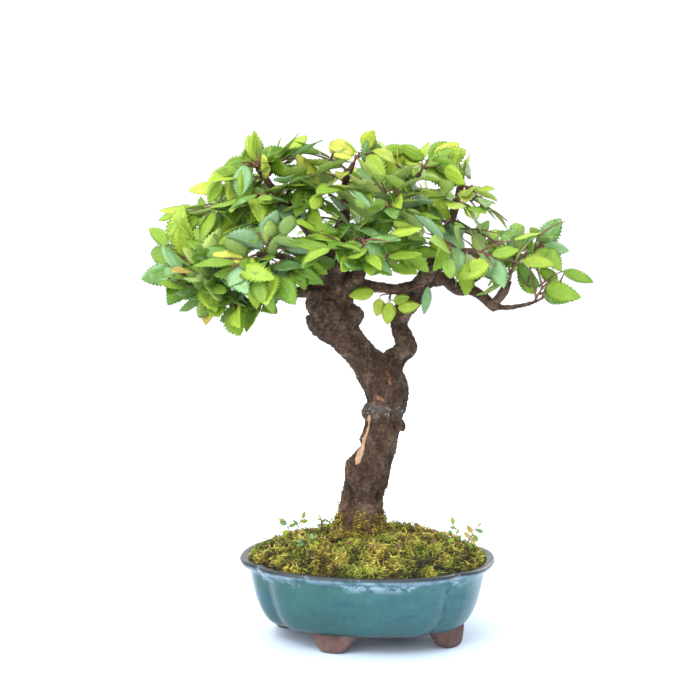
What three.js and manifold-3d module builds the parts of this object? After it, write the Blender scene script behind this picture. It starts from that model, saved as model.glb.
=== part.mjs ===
// A small bonsai: a Chinese elm with a crooked forked trunk, in a shallow glazed pot of four lobes.
// Millimetres, +Z up. The pot's length lies along X and its depth along Y. The tree is turned in
// the pot, so the limbs are written in the tree's own axes and one group turns them.

import * as THREE from "three";
import { mergeVertices } from "three/addons/utils/BufferGeometryUtils.js";
import Module from "manifold-3d";

const wasm = await Module();
wasm.setup();

// Pot.
const POT_LENGTH = 170;
const POT_DEPTH = 138;
const PLAN_POWER = 2.25; // 2 is an ellipse, more is squarer
const NOTCH_ANGLE = THREE.MathUtils.degToRad(33.75); // where two lobes meet, from the X axis
const NOTCH_DEPTH = 3.4;
const NOTCH_SPREAD = 0.2; // radians to each side
const POT_SEGMENTS = 64; // puts a corner on each notch
const GROUND_SEGMENTS = 32;
const BODY_BOTTOM = 11;
const RIM_TOP = 55.2;
const INNER_FLOOR = 17;
const DRAIN_RADIUS = 6;
const DRAIN_OFFSET = 30;

// Outside of the pot from its bottom to the top of the lip, as [height, inset from the lip].
const OUTER_PROFILE = [
  [BODY_BOTTOM, 21.8],
  [14.5, 17.2],
  [20, 13.8],
  [30, 10.2],
  [46.7, 6.9],
  [49.2, 4.6],
  [51.6, 0.7],
  [54, 0],
  [RIM_TOP, 2],
];

// Inside of the pot from the top of the lip down to the floor.
const INNER_PROFILE = [
  [RIM_TOP, 5.2],
  [53.6, 7.2],
  [46.2, 11.6],
  [28, 16.8],
  [INNER_FLOOR, 30],
];

// Feet: one under each lobe, cut as a bracket and stuck to the pot before firing, as [name, degrees].
const FEET = [
  ["foot_front", -108],
  ["foot_right", -16.4],
  ["foot_back", 72],
  ["foot_left", 163.6],
];
const FOOT_TOP_WIDTH = 34;
const FOOT_BASE_WIDTH = 13;
const FOOT_HEIGHT = 14;
const FOOT_THICKNESS = 13;
const FOOT_INSET = 17.6; // of the outer face, from the lip

// Drain mesh.
const MESH_SIZE = 24;
const MESH_THICKNESS = 0.9;
const MESH_HOLES = 3; // along each side
const MESH_BAR = 1.5;

// Soil and moss.
const SOIL_PROFILE = [
  [19, 30.5],
  [28.7, 18],
  [46.2, 12.6],
];
const GROUND_EDGE = 9; // inset of the top edge of both
const MOSS_RIM_HEIGHT = 56.2;
const MOUND_HEIGHT = 13.5;
const MOSS_THICKNESS = 5;
const GROUND_RINGS = [1, 0.88, 0.72, 0.54, 0.36, 0.2];
const FIT_GAP = 0.4; // between pieces that touch
const MOST_FAN_SIDES = 6;

// Tree.
const TREE_TURN = THREE.MathUtils.degToRad(10);
const TRUNK_SIDES = 11;
const BOUGH_SIDES = 6;
const ROOT_SIDES = 6;
const TWIG_SIDES = 4;
const BARK_UNEVENNESS = 0.07;
const CANOPY_CENTRE = new THREE.Vector3(-12, 0, 236);
const LIGHT = new THREE.Vector3(0.1, -0.85, 0.5); // the side that the leaves turn to
const SHOOT_LEAVES = 7;
const LEAF_LENGTH = 25;
const YOUNG_SHOOT_LEAVES = 4;
const YOUNG_LEAF_LENGTH = 17;
const LEAF_WIDTH = 0.5; // of its length
const LEAF_THICKNESS = 0.8;
const LEAF_TILTS = [0, 0.5, -0.5, 1, -1]; // tried in turn until the leaf is clear of its neighbours
const TWIG_BASE = 1.3;
const TWIG_TIP = 0.7;

// Limbs of the tree, each a chain of [x, y, z, radius] in the tree's own axes.
const TRUNK = [
  [-6, 2, 38, 11],
  [-5, 1, 56, 15.5],
  [-4.3, 0, 73, 15.4],
  [-4.2, 0, 87, 14.2],
  [-3.3, 1, 97, 12.6],
  [-0.8, 1, 107, 14.2],
  [1.2, 0, 114, 14.8],
  [5.6, -1, 124, 12],
  [7.4, -1, 131, 11.4],
  [9.8, 0, 139, 11.2],
  [12.3, 2, 150, 11],
  [13.6, 3, 160, 13.2],
  [12, 3, 169, 13.8],
  [5.8, 2, 177, 11.8],
  [-0.8, 0, 186, 9.6],
  [-6.8, -2, 194, 9],
  [-14, -3, 202, 10.2],
  [-20.6, -2, 208, 12],
  [-23.3, 0, 215, 13],
  [-23.2, 1, 223, 12.2],
  [-21.9, 2, 232, 11.6],
  [-23.6, 2, 241, 12],
  [-23, 3, 250, 10.4],
  [-21, 4, 259, 6.5],
];
const RIGHT_STEM = [
  [11, 3, 168, 9],
  [15.7, 2, 182, 7.8],
  [20.3, 0, 189, 6.8],
  [25.6, -1, 195, 6.4],
  [24.2, 0, 201, 5.9],
  [20.4, 2, 208, 5.6],
  [21.5, 3, 216, 5.9],
  [26.8, 3, 224, 6.9],
  [32, 2, 231, 6.9],
  [36, 0, 238, 5.4],
];
const BOUGHS = {
  east: [
    [-20, 1, 237, 5.6],
    [-1.5, -4, 236, 3.9],
    [8.3, -5, 235, 3.4],
    [24.8, -2, 233.5, 3.6],
    [34.6, 0, 236, 5],
    [42.5, 0, 239.5, 4.6],
    [50.3, -1, 240.8, 4.4],
    [55.6, -2, 236.8, 3.8],
    [60.9, -3, 233, 3.6],
    [67.5, -4, 233.4, 3.5],
    [74.1, -5, 230.2, 3.2],
    [79.4, -6, 225.6, 2.8],
    [84, -6, 220.6, 2.2],
  ],
  eastStub: [[82, -6, 223, 2.6], [88, -7, 231, 2.6], [93, -7, 240, 2.2]],
  eastTwig: [[82, -6, 222, 1.8], [94, -8, 222.3, 1.4], [104, -9, 224.3, 1.2], [111, -9, 226.5, 1]],
  eastRise: [[60.9, -3, 234, 2.8], [78, 4, 245, 2.2], [96, 8, 252, 1.7], [110, 8, 257, 1.2]],
  eastTop: [[35, 0, 236, 5], [45, 4, 256, 3.8], [54, 6, 276, 3], [60, 4, 296, 2.2], [62, 2, 308, 1.5]],
  eastBack: [[30, 4, 232, 4.6], [48, 22, 246, 3.4], [70, 34, 252, 2.4], [92, 40, 254, 1.6]],
  frontRight: [[35, -1, 239, 4], [46, -22, 252, 3], [58, -38, 260, 2.2], [68, -46, 262, 1.5]],
  crownRight: [[-19, 3, 254, 5], [2, -4, 272, 3.8], [18, -8, 290, 2.9], [34, -11, 310, 1.6]],
  crown: [[-21, 5, 256, 5], [-15, 8, 282, 3.6], [-15, 9, 302, 2.5], [-9, 8, 316, 1.6]],
  westTop: [[-23, 3, 250, 5], [-37, 4, 270, 3.9], [-52, 0, 288, 2.9], [-64, -4, 303, 2], [-72, -6, 313, 1.5]],
  west: [
    [-22, 1, 243, 6],
    [-42, -6, 247, 4.2],
    [-64, -13, 243, 3.2],
    [-88, -19, 240, 2.4],
    [-112, -24, 243, 1.6],
  ],
  westLow: [
    [-23, -2, 229, 5],
    [-42, -16, 233, 3.4],
    [-60, -26, 231, 2.6],
    [-82, -31, 228, 2],
    [-100, -34, 230, 1.5],
  ],
  westBack: [[-24, 4, 246, 5.4], [-44, 22, 256, 3.8], [-66, 38, 262, 2.8], [-92, 48, 262, 1.7]],
  front: [[-20, -4, 244, 5], [-14, -26, 256, 3.4], [-8, -44, 266, 2.4], [-4, -56, 270, 1.6]],
  frontLeft: [[-26, -4, 240, 5], [-44, -30, 252, 3], [-58, -44, 259, 2.1], [-70, -53, 260, 1.5]],
  back: [[-21, 8, 246, 5], [-14, 34, 258, 3.6], [-8, 54, 268, 2.4], [0, 68, 272, 1.6]],
};
const ROOTS = [
  [[-8, 0, 54, 9], [-26, -10, 46, 6], [-44, -18, 38, 3.4]],
  [[0, 2, 54, 9], [18, -12, 46, 6], [40, -20, 38, 3.2]],
  [[0, 4, 54, 9], [16, 18, 46, 6], [38, 26, 38, 3.2]],
  [[-8, 4, 54, 9], [-22, 20, 46, 6], [-40, 26, 38, 3.2]],
];

// Leafy shoots: the bough that bears each, how far along it, and the place of the shoot's end.
const SHOOTS = [
  ["west", 1, [-136, -28, 247]],
  ["west", 0.92, [-131, -18, 266]],
  ["west", 0.76, [-118, -42, 238]],
  ["west", 0.6, [-103, -42, 258]],
  ["westLow", 1, [-120, -38, 223]],
  ["westLow", 0.8, [-92, -44, 215]],
  ["westLow", 0.55, [-68, -44, 222]],
  ["westBack", 1, [-122, 50, 256]],
  ["westBack", 0.8, [-102, 66, 246]],
  ["westBack", 0.6, [-84, 56, 280]],
  ["westTop", 1, [-82, -8, 322]],
  ["westTop", 0.85, [-104, -12, 303]],
  ["westTop", 0.6, [-120, -4, 284]],
  ["westTop", 0.65, [-80, -38, 292]],
  ["westTop", 0.8, [-62, 28, 312]],
  ["westTop", 0.9, [-52, -22, 320]],
  ["crown", 1, [-2, 6, 325]],
  ["crown", 0.85, [-32, -10, 323]],
  ["crown", 0.7, [-26, 40, 308]],
  ["crown", 0.6, [-32, -42, 298]],
  ["crownRight", 1, [44, -14, 322]],
  ["crownRight", 0.85, [18, -28, 317]],
  ["crownRight", 0.7, [34, 24, 308]],
  ["crownRight", 0.5, [14, -48, 290]],
  ["eastTop", 1, [64, 2, 319]],
  ["eastTop", 0.82, [82, -6, 298]],
  ["eastTop", 0.7, [50, -34, 296]],
  ["eastTop", 0.45, [84, -24, 272]],
  ["eastBack", 1, [116, 46, 250]],
  ["eastBack", 0.7, [86, 60, 270]],
  ["front", 1, [0, -76, 262]],
  ["front", 0.85, [-32, -74, 262]],
  ["front", 0.6, [16, -58, 252]],
  ["frontRight", 1, [84, -54, 254]],
  ["frontRight", 0.7, [46, -62, 270]],
  ["back", 1, [4, 86, 262]],
  ["back", 0.8, [-32, 80, 266]],
  ["back", 0.6, [26, 66, 282]],
  ["frontLeft", 1, [-88, -66, 250]],
  ["frontLeft", 0.85, [-60, -70, 274]],
  ["frontLeft", 0.6, [-46, -62, 240]],
  ["eastTwig", 1, [132, -10, 234]],
  ["eastStub", 1, [98, -10, 262]],
  ["eastRise", 1, [124, 8, 270]],
  ["east", 0.2, [12, -16, 224]],
  ["east", 0.36, [32, -12, 226]],
];

// Seedlings in the moss: name, place in the tree's axes, height, lean, number and length of leaves.
const SPROUTS = [
  { name: "sprout_back_left", x: -50, y: 6, height: 12, lean: [2, 0], leaves: 2, leafLength: 9 },
  { name: "sprout_near_trunk", x: -29, y: 2, height: 9, lean: [-1, 0], leaves: 3, leafLength: 7 },
  { name: "sprout_right", x: 64, y: -4, height: 14, lean: [3, -2], leaves: 5, leafLength: 8 },
  { name: "sprout_front_left", x: -38, y: -26, height: 8, lean: [-1, -2], leaves: 5, leafLength: 7 },
];
const STEM_RADIUS = 0.7;
const STEM_DEPTH = 3.5;

const GLAZED = material(0x2f7f7c, 0.25);
const CLAY = material(0x6f4436, 0.9);
const PLASTIC = material(0x1d1f1e, 0.6);
const SOIL = material(0x3a2a1e, 1);
const MOSS = material(0x8f9a2e, 1);
const BARK = material(0x43342a, 0.95);
const LEAF = material(0x7cc23c, 0.5);
const YOUNG_LEAF = material(0xa8d84a, 0.5);

function material(color, roughness) {
  return new THREE.MeshStandardMaterial({ color, roughness, metalness: 0 });
}

// A repeatable number from 0 to 1 for a counter.
function chance(counter) {
  const wave = Math.sin(counter * 12.9898 + 4.1414) * 43758.5453;
  return wave - Math.floor(wave);
}

// A closed body from rings of equal count. Each ring turns anticlockwise about the way of travel.
// The two ends are closed by a fan, from a corner on a small ring and from the middle on others.
function loft(rings) {
  const count = rings[0].length;
  const corners = rings.flat();
  const triangles = [];
  for (let row = 0; row + 1 < rings.length; row += 1) {
    for (let column = 0; column < count; column += 1) {
      const next = (column + 1) % count;
      const a = row * count + column;
      const b = row * count + next;
      triangles.push([a, b, b + count], [a, b + count, a + count]);
    }
  }
  const lastRow = (rings.length - 1) * count;
  if (count <= MOST_FAN_SIDES) {
    for (let column = 1; column + 1 < count; column += 1) {
      triangles.push([0, column + 1, column], [lastRow, lastRow + column, lastRow + column + 1]);
    }
    return solid(corners, triangles);
  }
  const middle = (ring) => ring.reduce((sum, p) => sum.add(p), new THREE.Vector3()).divideScalar(count);
  const first = corners.push(middle(rings[0])) - 1;
  const last = corners.push(middle(rings[rings.length - 1])) - 1;
  for (let column = 0; column < count; column += 1) {
    const next = (column + 1) % count;
    triangles.push([first, next, column], [last, lastRow + column, lastRow + next]);
  }
  return solid(corners, triangles);
}

function solid(corners, triangles) {
  return new wasm.Manifold(new wasm.Mesh({
    numProp: 3,
    vertProperties: Float32Array.from(corners.flatMap((p) => [p.x, p.y, p.z])),
    triVerts: Uint32Array.from(triangles.flat()),
  }));
}

function solidOf(geometry) {
  geometry.deleteAttribute("normal");
  geometry.deleteAttribute("uv");
  const merged = mergeVertices(geometry, 1e-4);
  return new wasm.Manifold(new wasm.Mesh({
    numProp: 3,
    vertProperties: Float32Array.from(merged.attributes.position.array),
    triVerts: Uint32Array.from(merged.index.array),
  }));
}

function node(name, body, finish) {
  const { vertProperties, triVerts } = body.getMesh();
  const geometry = new THREE.BufferGeometry();
  geometry.setAttribute("position", new THREE.BufferAttribute(Float32Array.from(vertProperties), 3));
  geometry.setIndex(Array.from(triVerts));
  geometry.computeVertexNormals();
  const mesh = new THREE.Mesh(geometry, finish);
  mesh.name = name;
  return mesh;
}

function joined(solids) {
  return solids.reduce((sum, next) => sum.add(next));
}

// The largest of the separate bodies in a solid, where a cut has left offcuts.
function largest(body) {
  return body.decompose().reduce((best, next) => (next.volume() > best.volume() ? next : best));
}

// The pot's plan at one angle: a squarish oval that dips where two lobes meet.
function planPoint(angle, inset, height) {
  const across = Math.abs(Math.cos(angle)) / (POT_LENGTH / 2 - inset);
  const deep = Math.abs(Math.sin(angle)) / (POT_DEPTH / 2 - inset);
  const oval = (across ** PLAN_POWER + deep ** PLAN_POWER) ** (-1 / PLAN_POWER);
  const fromX = Math.atan2(Math.abs(Math.sin(angle)), Math.abs(Math.cos(angle)));
  const away = Math.min(1, Math.abs(fromX - NOTCH_ANGLE) / NOTCH_SPREAD);
  const radius = oval - NOTCH_DEPTH * (1 - away) ** 1.5;
  return new THREE.Vector3(radius * Math.cos(angle), radius * Math.sin(angle), height);
}

function planRing(inset, height, segments) {
  return Array.from({ length: segments }, (_, i) => planPoint((i / segments) * 2 * Math.PI, inset, height));
}

// The outside of the pot, filled. Swell is the space that a neighbour leaves around it.
function potBlock(swell = 0) {
  return loft(OUTER_PROFILE.map(([height, inset]) => (
    planRing(inset - swell, height === BODY_BOTTOM ? height - swell : height, POT_SEGMENTS)
  )));
}

function buildFoot(degrees) {
  const outline = new THREE.Shape();
  outline.moveTo(-FOOT_TOP_WIDTH / 2, FOOT_HEIGHT);
  outline.bezierCurveTo(
    -FOOT_TOP_WIDTH / 2 + 1, FOOT_HEIGHT * 0.45,
    -FOOT_BASE_WIDTH / 2 - 5, 0,
    -FOOT_BASE_WIDTH / 2, 0,
  );
  outline.lineTo(FOOT_BASE_WIDTH / 2, 0);
  outline.bezierCurveTo(
    FOOT_BASE_WIDTH / 2 + 5, 0,
    FOOT_TOP_WIDTH / 2 - 1, FOOT_HEIGHT * 0.45,
    FOOT_TOP_WIDTH / 2, FOOT_HEIGHT,
  );
  const geometry = new THREE.ExtrudeGeometry(outline, {
    depth: FOOT_THICKNESS,
    bevelEnabled: false,
    curveSegments: 6,
  });
  const angle = THREE.MathUtils.degToRad(degrees);
  const face = planPoint(angle, FOOT_INSET, 0);
  const outward = Math.atan2(
    face.y / (POT_DEPTH / 2 - FOOT_INSET) ** 2,
    face.x / (POT_LENGTH / 2 - FOOT_INSET) ** 2,
  );
  geometry.rotateX(Math.PI / 2);
  geometry.translate(0, FOOT_THICKNESS, 0);
  geometry.rotateZ(outward + Math.PI / 2);
  geometry.translate(face.x, face.y, 0);
  return largest(solidOf(geometry).subtract(potBlock(FIT_GAP)));
}

function buildPot() {
  const hollowProfile = [...INNER_PROFILE].reverse();
  const hollowRings = hollowProfile.map(([height, inset]) => planRing(inset, height, POT_SEGMENTS));
  hollowRings.push(planRing(INNER_PROFILE[0][1], RIM_TOP + 2, POT_SEGMENTS));
  let body = potBlock().subtract(loft(hollowRings));
  for (const side of [-1, 1]) {
    const drill = new THREE.CylinderGeometry(DRAIN_RADIUS, DRAIN_RADIUS, INNER_FLOOR, 20);
    drill.rotateX(Math.PI / 2);
    drill.translate(side * DRAIN_OFFSET, 0, (BODY_BOTTOM + INNER_FLOOR) / 2);
    body = body.subtract(solidOf(drill));
  }
  return body;
}

function buildDrainMesh(side) {
  const pitch = (MESH_SIZE - MESH_BAR) / MESH_HOLES;
  const bars = [];
  for (let i = 0; i <= MESH_HOLES; i += 1) {
    const offset = (i - MESH_HOLES / 2) * pitch;
    const along = new THREE.BoxGeometry(MESH_SIZE, MESH_BAR, MESH_THICKNESS);
    const across = new THREE.BoxGeometry(MESH_BAR, MESH_SIZE, MESH_THICKNESS);
    bars.push(solidOf(along.translate(0, offset, 0)), solidOf(across.translate(offset, 0, 0)));
  }
  const height = INNER_FLOOR + FIT_GAP + MESH_THICKNESS / 2;
  return joined(bars).translate([side * DRAIN_OFFSET, 0, height]);
}

// Height of the moss over the pot: a flat-topped mound with a rise behind the trunk and low lumps.
function mossHeight(x, y, share) {
  const rise = 4.5 * Math.exp(-((x - 20) ** 2 + (y - 8) ** 2) / 26 ** 2);
  const lumps = 0.9 * Math.sin(x * 0.16) * Math.cos(y * 0.19) + 0.5 * Math.sin(x * 0.37 + y * 0.31);
  return MOSS_RIM_HEIGHT + MOUND_HEIGHT * (1 - share ** 3) + (rise + lumps) * (1 - share ** 4);
}

// The rings of the ground from its edge to its middle, lowered below the top of the moss.
function groundRings(lowering) {
  return GROUND_RINGS.map((share) => planRing(GROUND_EDGE, 0, GROUND_SEGMENTS).map((p) => {
    const x = p.x * share;
    const y = p.y * share;
    return new THREE.Vector3(x, y, mossHeight(x, y, share) - lowering);
  }));
}

function buildSoil() {
  const wall = SOIL_PROFILE.map(([height, inset]) => planRing(inset, height, GROUND_SEGMENTS));
  return loft([...wall, ...groundRings(MOSS_THICKNESS + FIT_GAP)]);
}

// The carpet is what is left of a block under the moss's top when all below its underside is cut.
function buildMoss() {
  const underside = MOSS_RIM_HEIGHT - MOSS_THICKNESS;
  const block = loft([planRing(GROUND_EDGE, underside - 5, GROUND_SEGMENTS), ...groundRings(0)]);
  const below = loft([
    planRing(GROUND_EDGE - 4, underside - 9, GROUND_SEGMENTS),
    planRing(GROUND_EDGE - 4, underside, GROUND_SEGMENTS),
    ...groundRings(MOSS_THICKNESS),
  ]);
  return block.subtract(below);
}

// A tapering limb along a chain of stations, each side a little uneven. Swell makes it fatter and
// longer, for the space that a neighbour leaves around it.
function limb(stations, sides, seed, swell = 0) {
  const places = stations.map(([x, y, z]) => new THREE.Vector3(x, y, z));
  const last = places.length - 1;
  const heading = places.map((_, i) => {
    const ahead = places[Math.min(i + 1, last)];
    const behind = places[Math.max(i - 1, 0)];
    return ahead.clone().sub(behind).normalize();
  });
  places[last].addScaledVector(heading[last], swell);
  const side = new THREE.Vector3(0, 1, 0);
  return loft(places.map((place, row) => {
    side.addScaledVector(heading[row], -side.dot(heading[row])).normalize();
    const other = heading[row].clone().cross(side);
    return Array.from({ length: sides }, (_, i) => {
      const turn = (i / sides) * 2 * Math.PI;
      const uneven = 1 + BARK_UNEVENNESS * (2 * chance(seed + row * sides + i) - 1);
      const radius = stations[row][3] * uneven + swell;
      return place.clone()
        .addScaledVector(side, radius * Math.cos(turn))
        .addScaledVector(other, radius * Math.sin(turn));
    });
  }));
}

function buildTrunk(swell = 0) {
  const boughs = Object.values(BOUGHS).map((chain, i) => limb(chain, BOUGH_SIDES, 500 + i * 100, swell));
  const roots = ROOTS.map((chain, i) => limb(chain, ROOT_SIDES, 3000 + i * 50, swell));
  return joined([
    limb(TRUNK, TRUNK_SIDES, 1, swell),
    limb(RIGHT_STEM, BOUGH_SIDES + 2, 400, swell),
    ...boughs,
    ...roots,
  ]);
}

// The place on a bough at a share of its stations.
function alongBough(name, share) {
  const chain = BOUGHS[name];
  const step = share * (chain.length - 1);
  const from = Math.min(Math.floor(step), chain.length - 2);
  const start = new THREE.Vector3(...chain[from].slice(0, 3));
  const end = new THREE.Vector3(...chain[from + 1].slice(0, 3));
  return start.lerp(end, step - from);
}

// One leaf: a flat plate with a narrow base and tip, broadest just below its middle.
function leaf(base, heading, normal, length, thickness) {
  const side = normal.clone().cross(heading);
  const at = (along, across, up) => base.clone()
    .addScaledVector(heading, along * length)
    .addScaledVector(side, across * length * LEAF_WIDTH)
    .addScaledVector(normal, up * thickness);
  const outline = [[0, 0], [0.45, -0.5], [1, 0], [0.45, 0.5]];
  return loft([-0.5, 0.5].map((up) => outline.map(([along, across]) => at(along, across, up))));
}

// The young shoots are those that hang straight from the level bough.
function isYoung(shoot) {
  return SHOOTS[shoot][0] === "east";
}

// Where each leaf of a shoot stands. Leaves alternate to the left and right and one ends the
// shoot. Their faces turn to the light and away from the canopy's middle, each with a lean of its
// own, and they hang a little.
function leafPlaces(shoot, base, tip) {
  const count = isYoung(shoot) ? YOUNG_SHOOT_LEAVES : SHOOT_LEAVES;
  const fullLength = isYoung(shoot) ? YOUNG_LEAF_LENGTH : LEAF_LENGTH;
  const run = tip.clone().sub(base);
  const heading = run.clone().normalize();
  return Array.from({ length: count }, (_, i) => {
    const seed = shoot * 40 + i * 5;
    const share = 0.3 + (0.68 * i) / (count - 1);
    const place = base.clone().addScaledVector(run, share);
    const outward = place.clone().sub(CANOPY_CENTRE).normalize();
    const normal = outward.multiplyScalar(0.55).addScaledVector(LIGHT, 0.7);
    normal.x += chance(seed) - 0.5;
    normal.y += chance(seed + 1) - 0.5;
    normal.z += chance(seed + 2) - 0.5;
    normal.normalize();
    const side = normal.clone().cross(heading).normalize();
    const hand = i % 2 === 0 ? 1 : -1;
    const spread = i === count - 1 ? 0 : hand * (0.75 + 0.35 * chance(seed + 3));
    const pointing = heading.clone().multiplyScalar(Math.cos(spread)).addScaledVector(side, Math.sin(spread));
    pointing.z -= 0.25;
    pointing.addScaledVector(normal, -pointing.dot(normal)).normalize();
    return { place, pointing, normal, length: fullLength * (0.78 + 0.3 * chance(seed + 4)) };
  });
}

// All the shoots. A leaf that would run into another is tilted, or else left out.
function buildShoots(space) {
  const ends = SHOOTS.map(([bough, share, tip]) => ({
    base: alongBough(bough, share),
    tip: new THREE.Vector3(...tip),
  }));
  const twigs = ends.map(({ base, tip }, i) => {
    const middle = base.clone().lerp(tip, 0.5).add(new THREE.Vector3(0, 0, 1.5));
    const radii = [TWIG_BASE, (TWIG_BASE + TWIG_TIP) / 2, TWIG_TIP];
    const chain = [base, middle, tip].map((p, j) => [p.x, p.y, p.z, radii[j]]);
    return largest(limb(chain, TWIG_SIDES, 4000 + i * 20).subtract(space));
  });
  const leaves = twigs.map(() => []);
  ends.forEach(({ base, tip }, i) => {
    for (const { place, pointing, normal, length } of leafPlaces(i, base, tip)) {
      const others = [space, ...twigs.filter((_, j) => j !== i), ...leaves.flat()];
      for (const tilt of LEAF_TILTS) {
        const turned = normal.clone().applyAxisAngle(pointing, tilt);
        if (touches(leaf(place, pointing, turned, length + 1, LEAF_THICKNESS + 1), others)) continue;
        leaves[i].push(leaf(place, pointing, turned, length, LEAF_THICKNESS));
        break;
      }
    }
  });
  return twigs.map((twig, i) => largest(joined([twig, ...leaves[i]])));
}

function touches(body, others) {
  const box = body.boundingBox();
  return others.some((other) => {
    const far = other.boundingBox();
    const apart = [0, 1, 2].some((k) => box.max[k] < far.min[k] || far.max[k] < box.min[k]);
    return !apart && body.intersect(other).volume() > 1e-6;
  });
}

// A seedling: a leaning stem rooted in the moss, with its leaves round its top.
function buildSprout({ x, y, height, lean, leaves, leafLength }, ground, swell = 0) {
  const foot = [x, y, ground - STEM_DEPTH - swell, STEM_RADIUS];
  const neck = [x + lean[0] * 0.4, y + lean[1] * 0.4, ground + height * 0.5, STEM_RADIUS];
  const top = [x + lean[0], y + lean[1], ground + height, STEM_RADIUS];
  const stem = limb([foot, neck, top], ROOT_SIDES, 5000, swell);
  if (swell > 0) return stem;
  const crown = new THREE.Vector3(top[0], top[1], top[2] - 0.6);
  return joined([stem, ...Array.from({ length: leaves }, (_, i) => {
    const turn = (i / leaves) * 2 * Math.PI + 0.4;
    const pointing = new THREE.Vector3(Math.cos(turn), Math.sin(turn) * 0.9, 0.45).normalize();
    const normal = new THREE.Vector3(-Math.cos(turn) * 0.45, -Math.sin(turn) * 0.45, 1);
    normal.addScaledVector(pointing, -normal.dot(pointing)).normalize();
    return leaf(crown, pointing, normal, leafLength, LEAF_THICKNESS);
  })]);
}

function sproutGround({ x, y }) {
  const turned = new THREE.Vector3(x, y, 0).applyAxisAngle(new THREE.Vector3(0, 0, 1), TREE_TURN);
  const edge = planPoint(Math.atan2(turned.y, turned.x), GROUND_EDGE, 0).length();
  return mossHeight(turned.x, turned.y, turned.length() / edge);
}

const turnDegrees = [0, 0, THREE.MathUtils.radToDeg(TREE_TURN)];
const trunk = buildTrunk();
const trunkSpace = buildTrunk(FIT_GAP);
const trunkSpaceInPot = trunkSpace.rotate(turnDegrees);
const sproutSockets = SPROUTS.map((sprout) => buildSprout(sprout, sproutGround(sprout), FIT_GAP));

const pot = new THREE.Group();
pot.add(node("pot", buildPot(), GLAZED));
FEET.forEach(([name, degrees]) => pot.add(node(name, buildFoot(degrees), CLAY)));
pot.add(node("drain_mesh_left", buildDrainMesh(-1), PLASTIC));
pot.add(node("drain_mesh_right", buildDrainMesh(1), PLASTIC));
pot.add(node("soil", buildSoil().subtract(trunkSpaceInPot), SOIL));
pot.add(node(
  "moss",
  sproutSockets.reduce(
    (body, socket) => body.subtract(socket.rotate(turnDegrees)),
    largest(buildMoss().subtract(trunkSpaceInPot)),
  ),
  MOSS,
));

const tree = new THREE.Group();
tree.rotation.z = TREE_TURN;
tree.add(node("trunk", trunk, BARK));
buildShoots(trunkSpace).forEach((body, i) => {
  tree.add(node(`shoot_${String(i + 1).padStart(2, "0")}`, body, isYoung(i) ? YOUNG_LEAF : LEAF));
});
SPROUTS.forEach((sprout) => {
  tree.add(node(sprout.name, buildSprout(sprout, sproutGround(sprout)), LEAF));
});

// The origin is the middle of the whole object's outline, on the surface that it stands on.
const group = new THREE.Group();
group.add(pot, tree);
group.updateMatrixWorld(true);
const outline = new THREE.Box3().setFromObject(group, true);
const centre = outline.getCenter(new THREE.Vector3());
pot.position.set(-centre.x, -centre.y, -outline.min.z);
tree.position.copy(pot.position);

export default group;
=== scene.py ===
"""A small Chinese elm grown as a bonsai in a shallow glazed pot of four lobes.

The file builds the object from the pot upwards: pot, drain mesh, soil, moss, trunk and boughs,
moss on the trunk, leafy shoots, seedlings, fallen leaves, and last the plain studio around it.
"""
import itertools
import math

import bpy
import mathutils
import numpy as np
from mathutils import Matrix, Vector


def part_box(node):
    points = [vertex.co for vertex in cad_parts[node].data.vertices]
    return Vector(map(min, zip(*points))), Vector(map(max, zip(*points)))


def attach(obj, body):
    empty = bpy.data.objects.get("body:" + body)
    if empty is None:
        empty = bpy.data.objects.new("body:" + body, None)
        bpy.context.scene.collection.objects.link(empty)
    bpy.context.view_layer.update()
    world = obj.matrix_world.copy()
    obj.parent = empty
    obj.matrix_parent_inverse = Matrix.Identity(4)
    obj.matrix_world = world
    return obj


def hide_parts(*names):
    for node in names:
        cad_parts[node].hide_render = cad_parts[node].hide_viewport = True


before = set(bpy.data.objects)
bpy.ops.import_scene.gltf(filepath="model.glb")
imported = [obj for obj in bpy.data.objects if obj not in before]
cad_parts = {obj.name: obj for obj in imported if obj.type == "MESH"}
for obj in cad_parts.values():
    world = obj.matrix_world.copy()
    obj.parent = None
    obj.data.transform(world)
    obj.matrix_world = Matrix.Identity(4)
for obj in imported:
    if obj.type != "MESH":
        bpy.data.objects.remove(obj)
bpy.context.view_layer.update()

# ---------------------------------------------------------------------------------------- the pot
# A fired stoneware body: a squarish oval of four shallow lobes with a rolled lip and two drain
# holes, and under it four bracket feet, moulded by themselves and stuck on. It is dipped in
# blue-green glaze; the feet and the underside stay bare reddish clay.

# Shapes are worked out in millimetres, which MM turns into the frame's metres; materials measure
# in metres.
MM = 0.001
pot_low, pot_high = (np.array(corner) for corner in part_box("pot"))
pot_middle = np.append((pot_low[:2] + pot_high[:2]) / 2, 0)
POT_HALF_LENGTH = (pot_high[0] - pot_low[0]) / 2 / MM
POT_HALF_DEPTH = (pot_high[1] - pot_low[1]) / 2 / MM
RIM_TOP = pot_high[2] / MM
PLAN_POWER = 2.25
NOTCH_ANGLE = math.radians(33.75)
NOTCH_DEPTH = 3.4
NOTCH_SPREAD = 0.2
CREASE_SPREAD = 0.016
BODY_BOTTOM = 11.0
INNER_FLOOR = 17.0
DRAIN_RADIUS = 6.0
DRAIN_AROUND = 40
POT_AROUND = 360
PROFILE_ROWS = 110
LAST_GLAZED_ROW = 80
CREASE_LOW, CREASE_HIGH = 18, 49
BARE_BAND = 2.4
DRILL_PAST = 5

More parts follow.
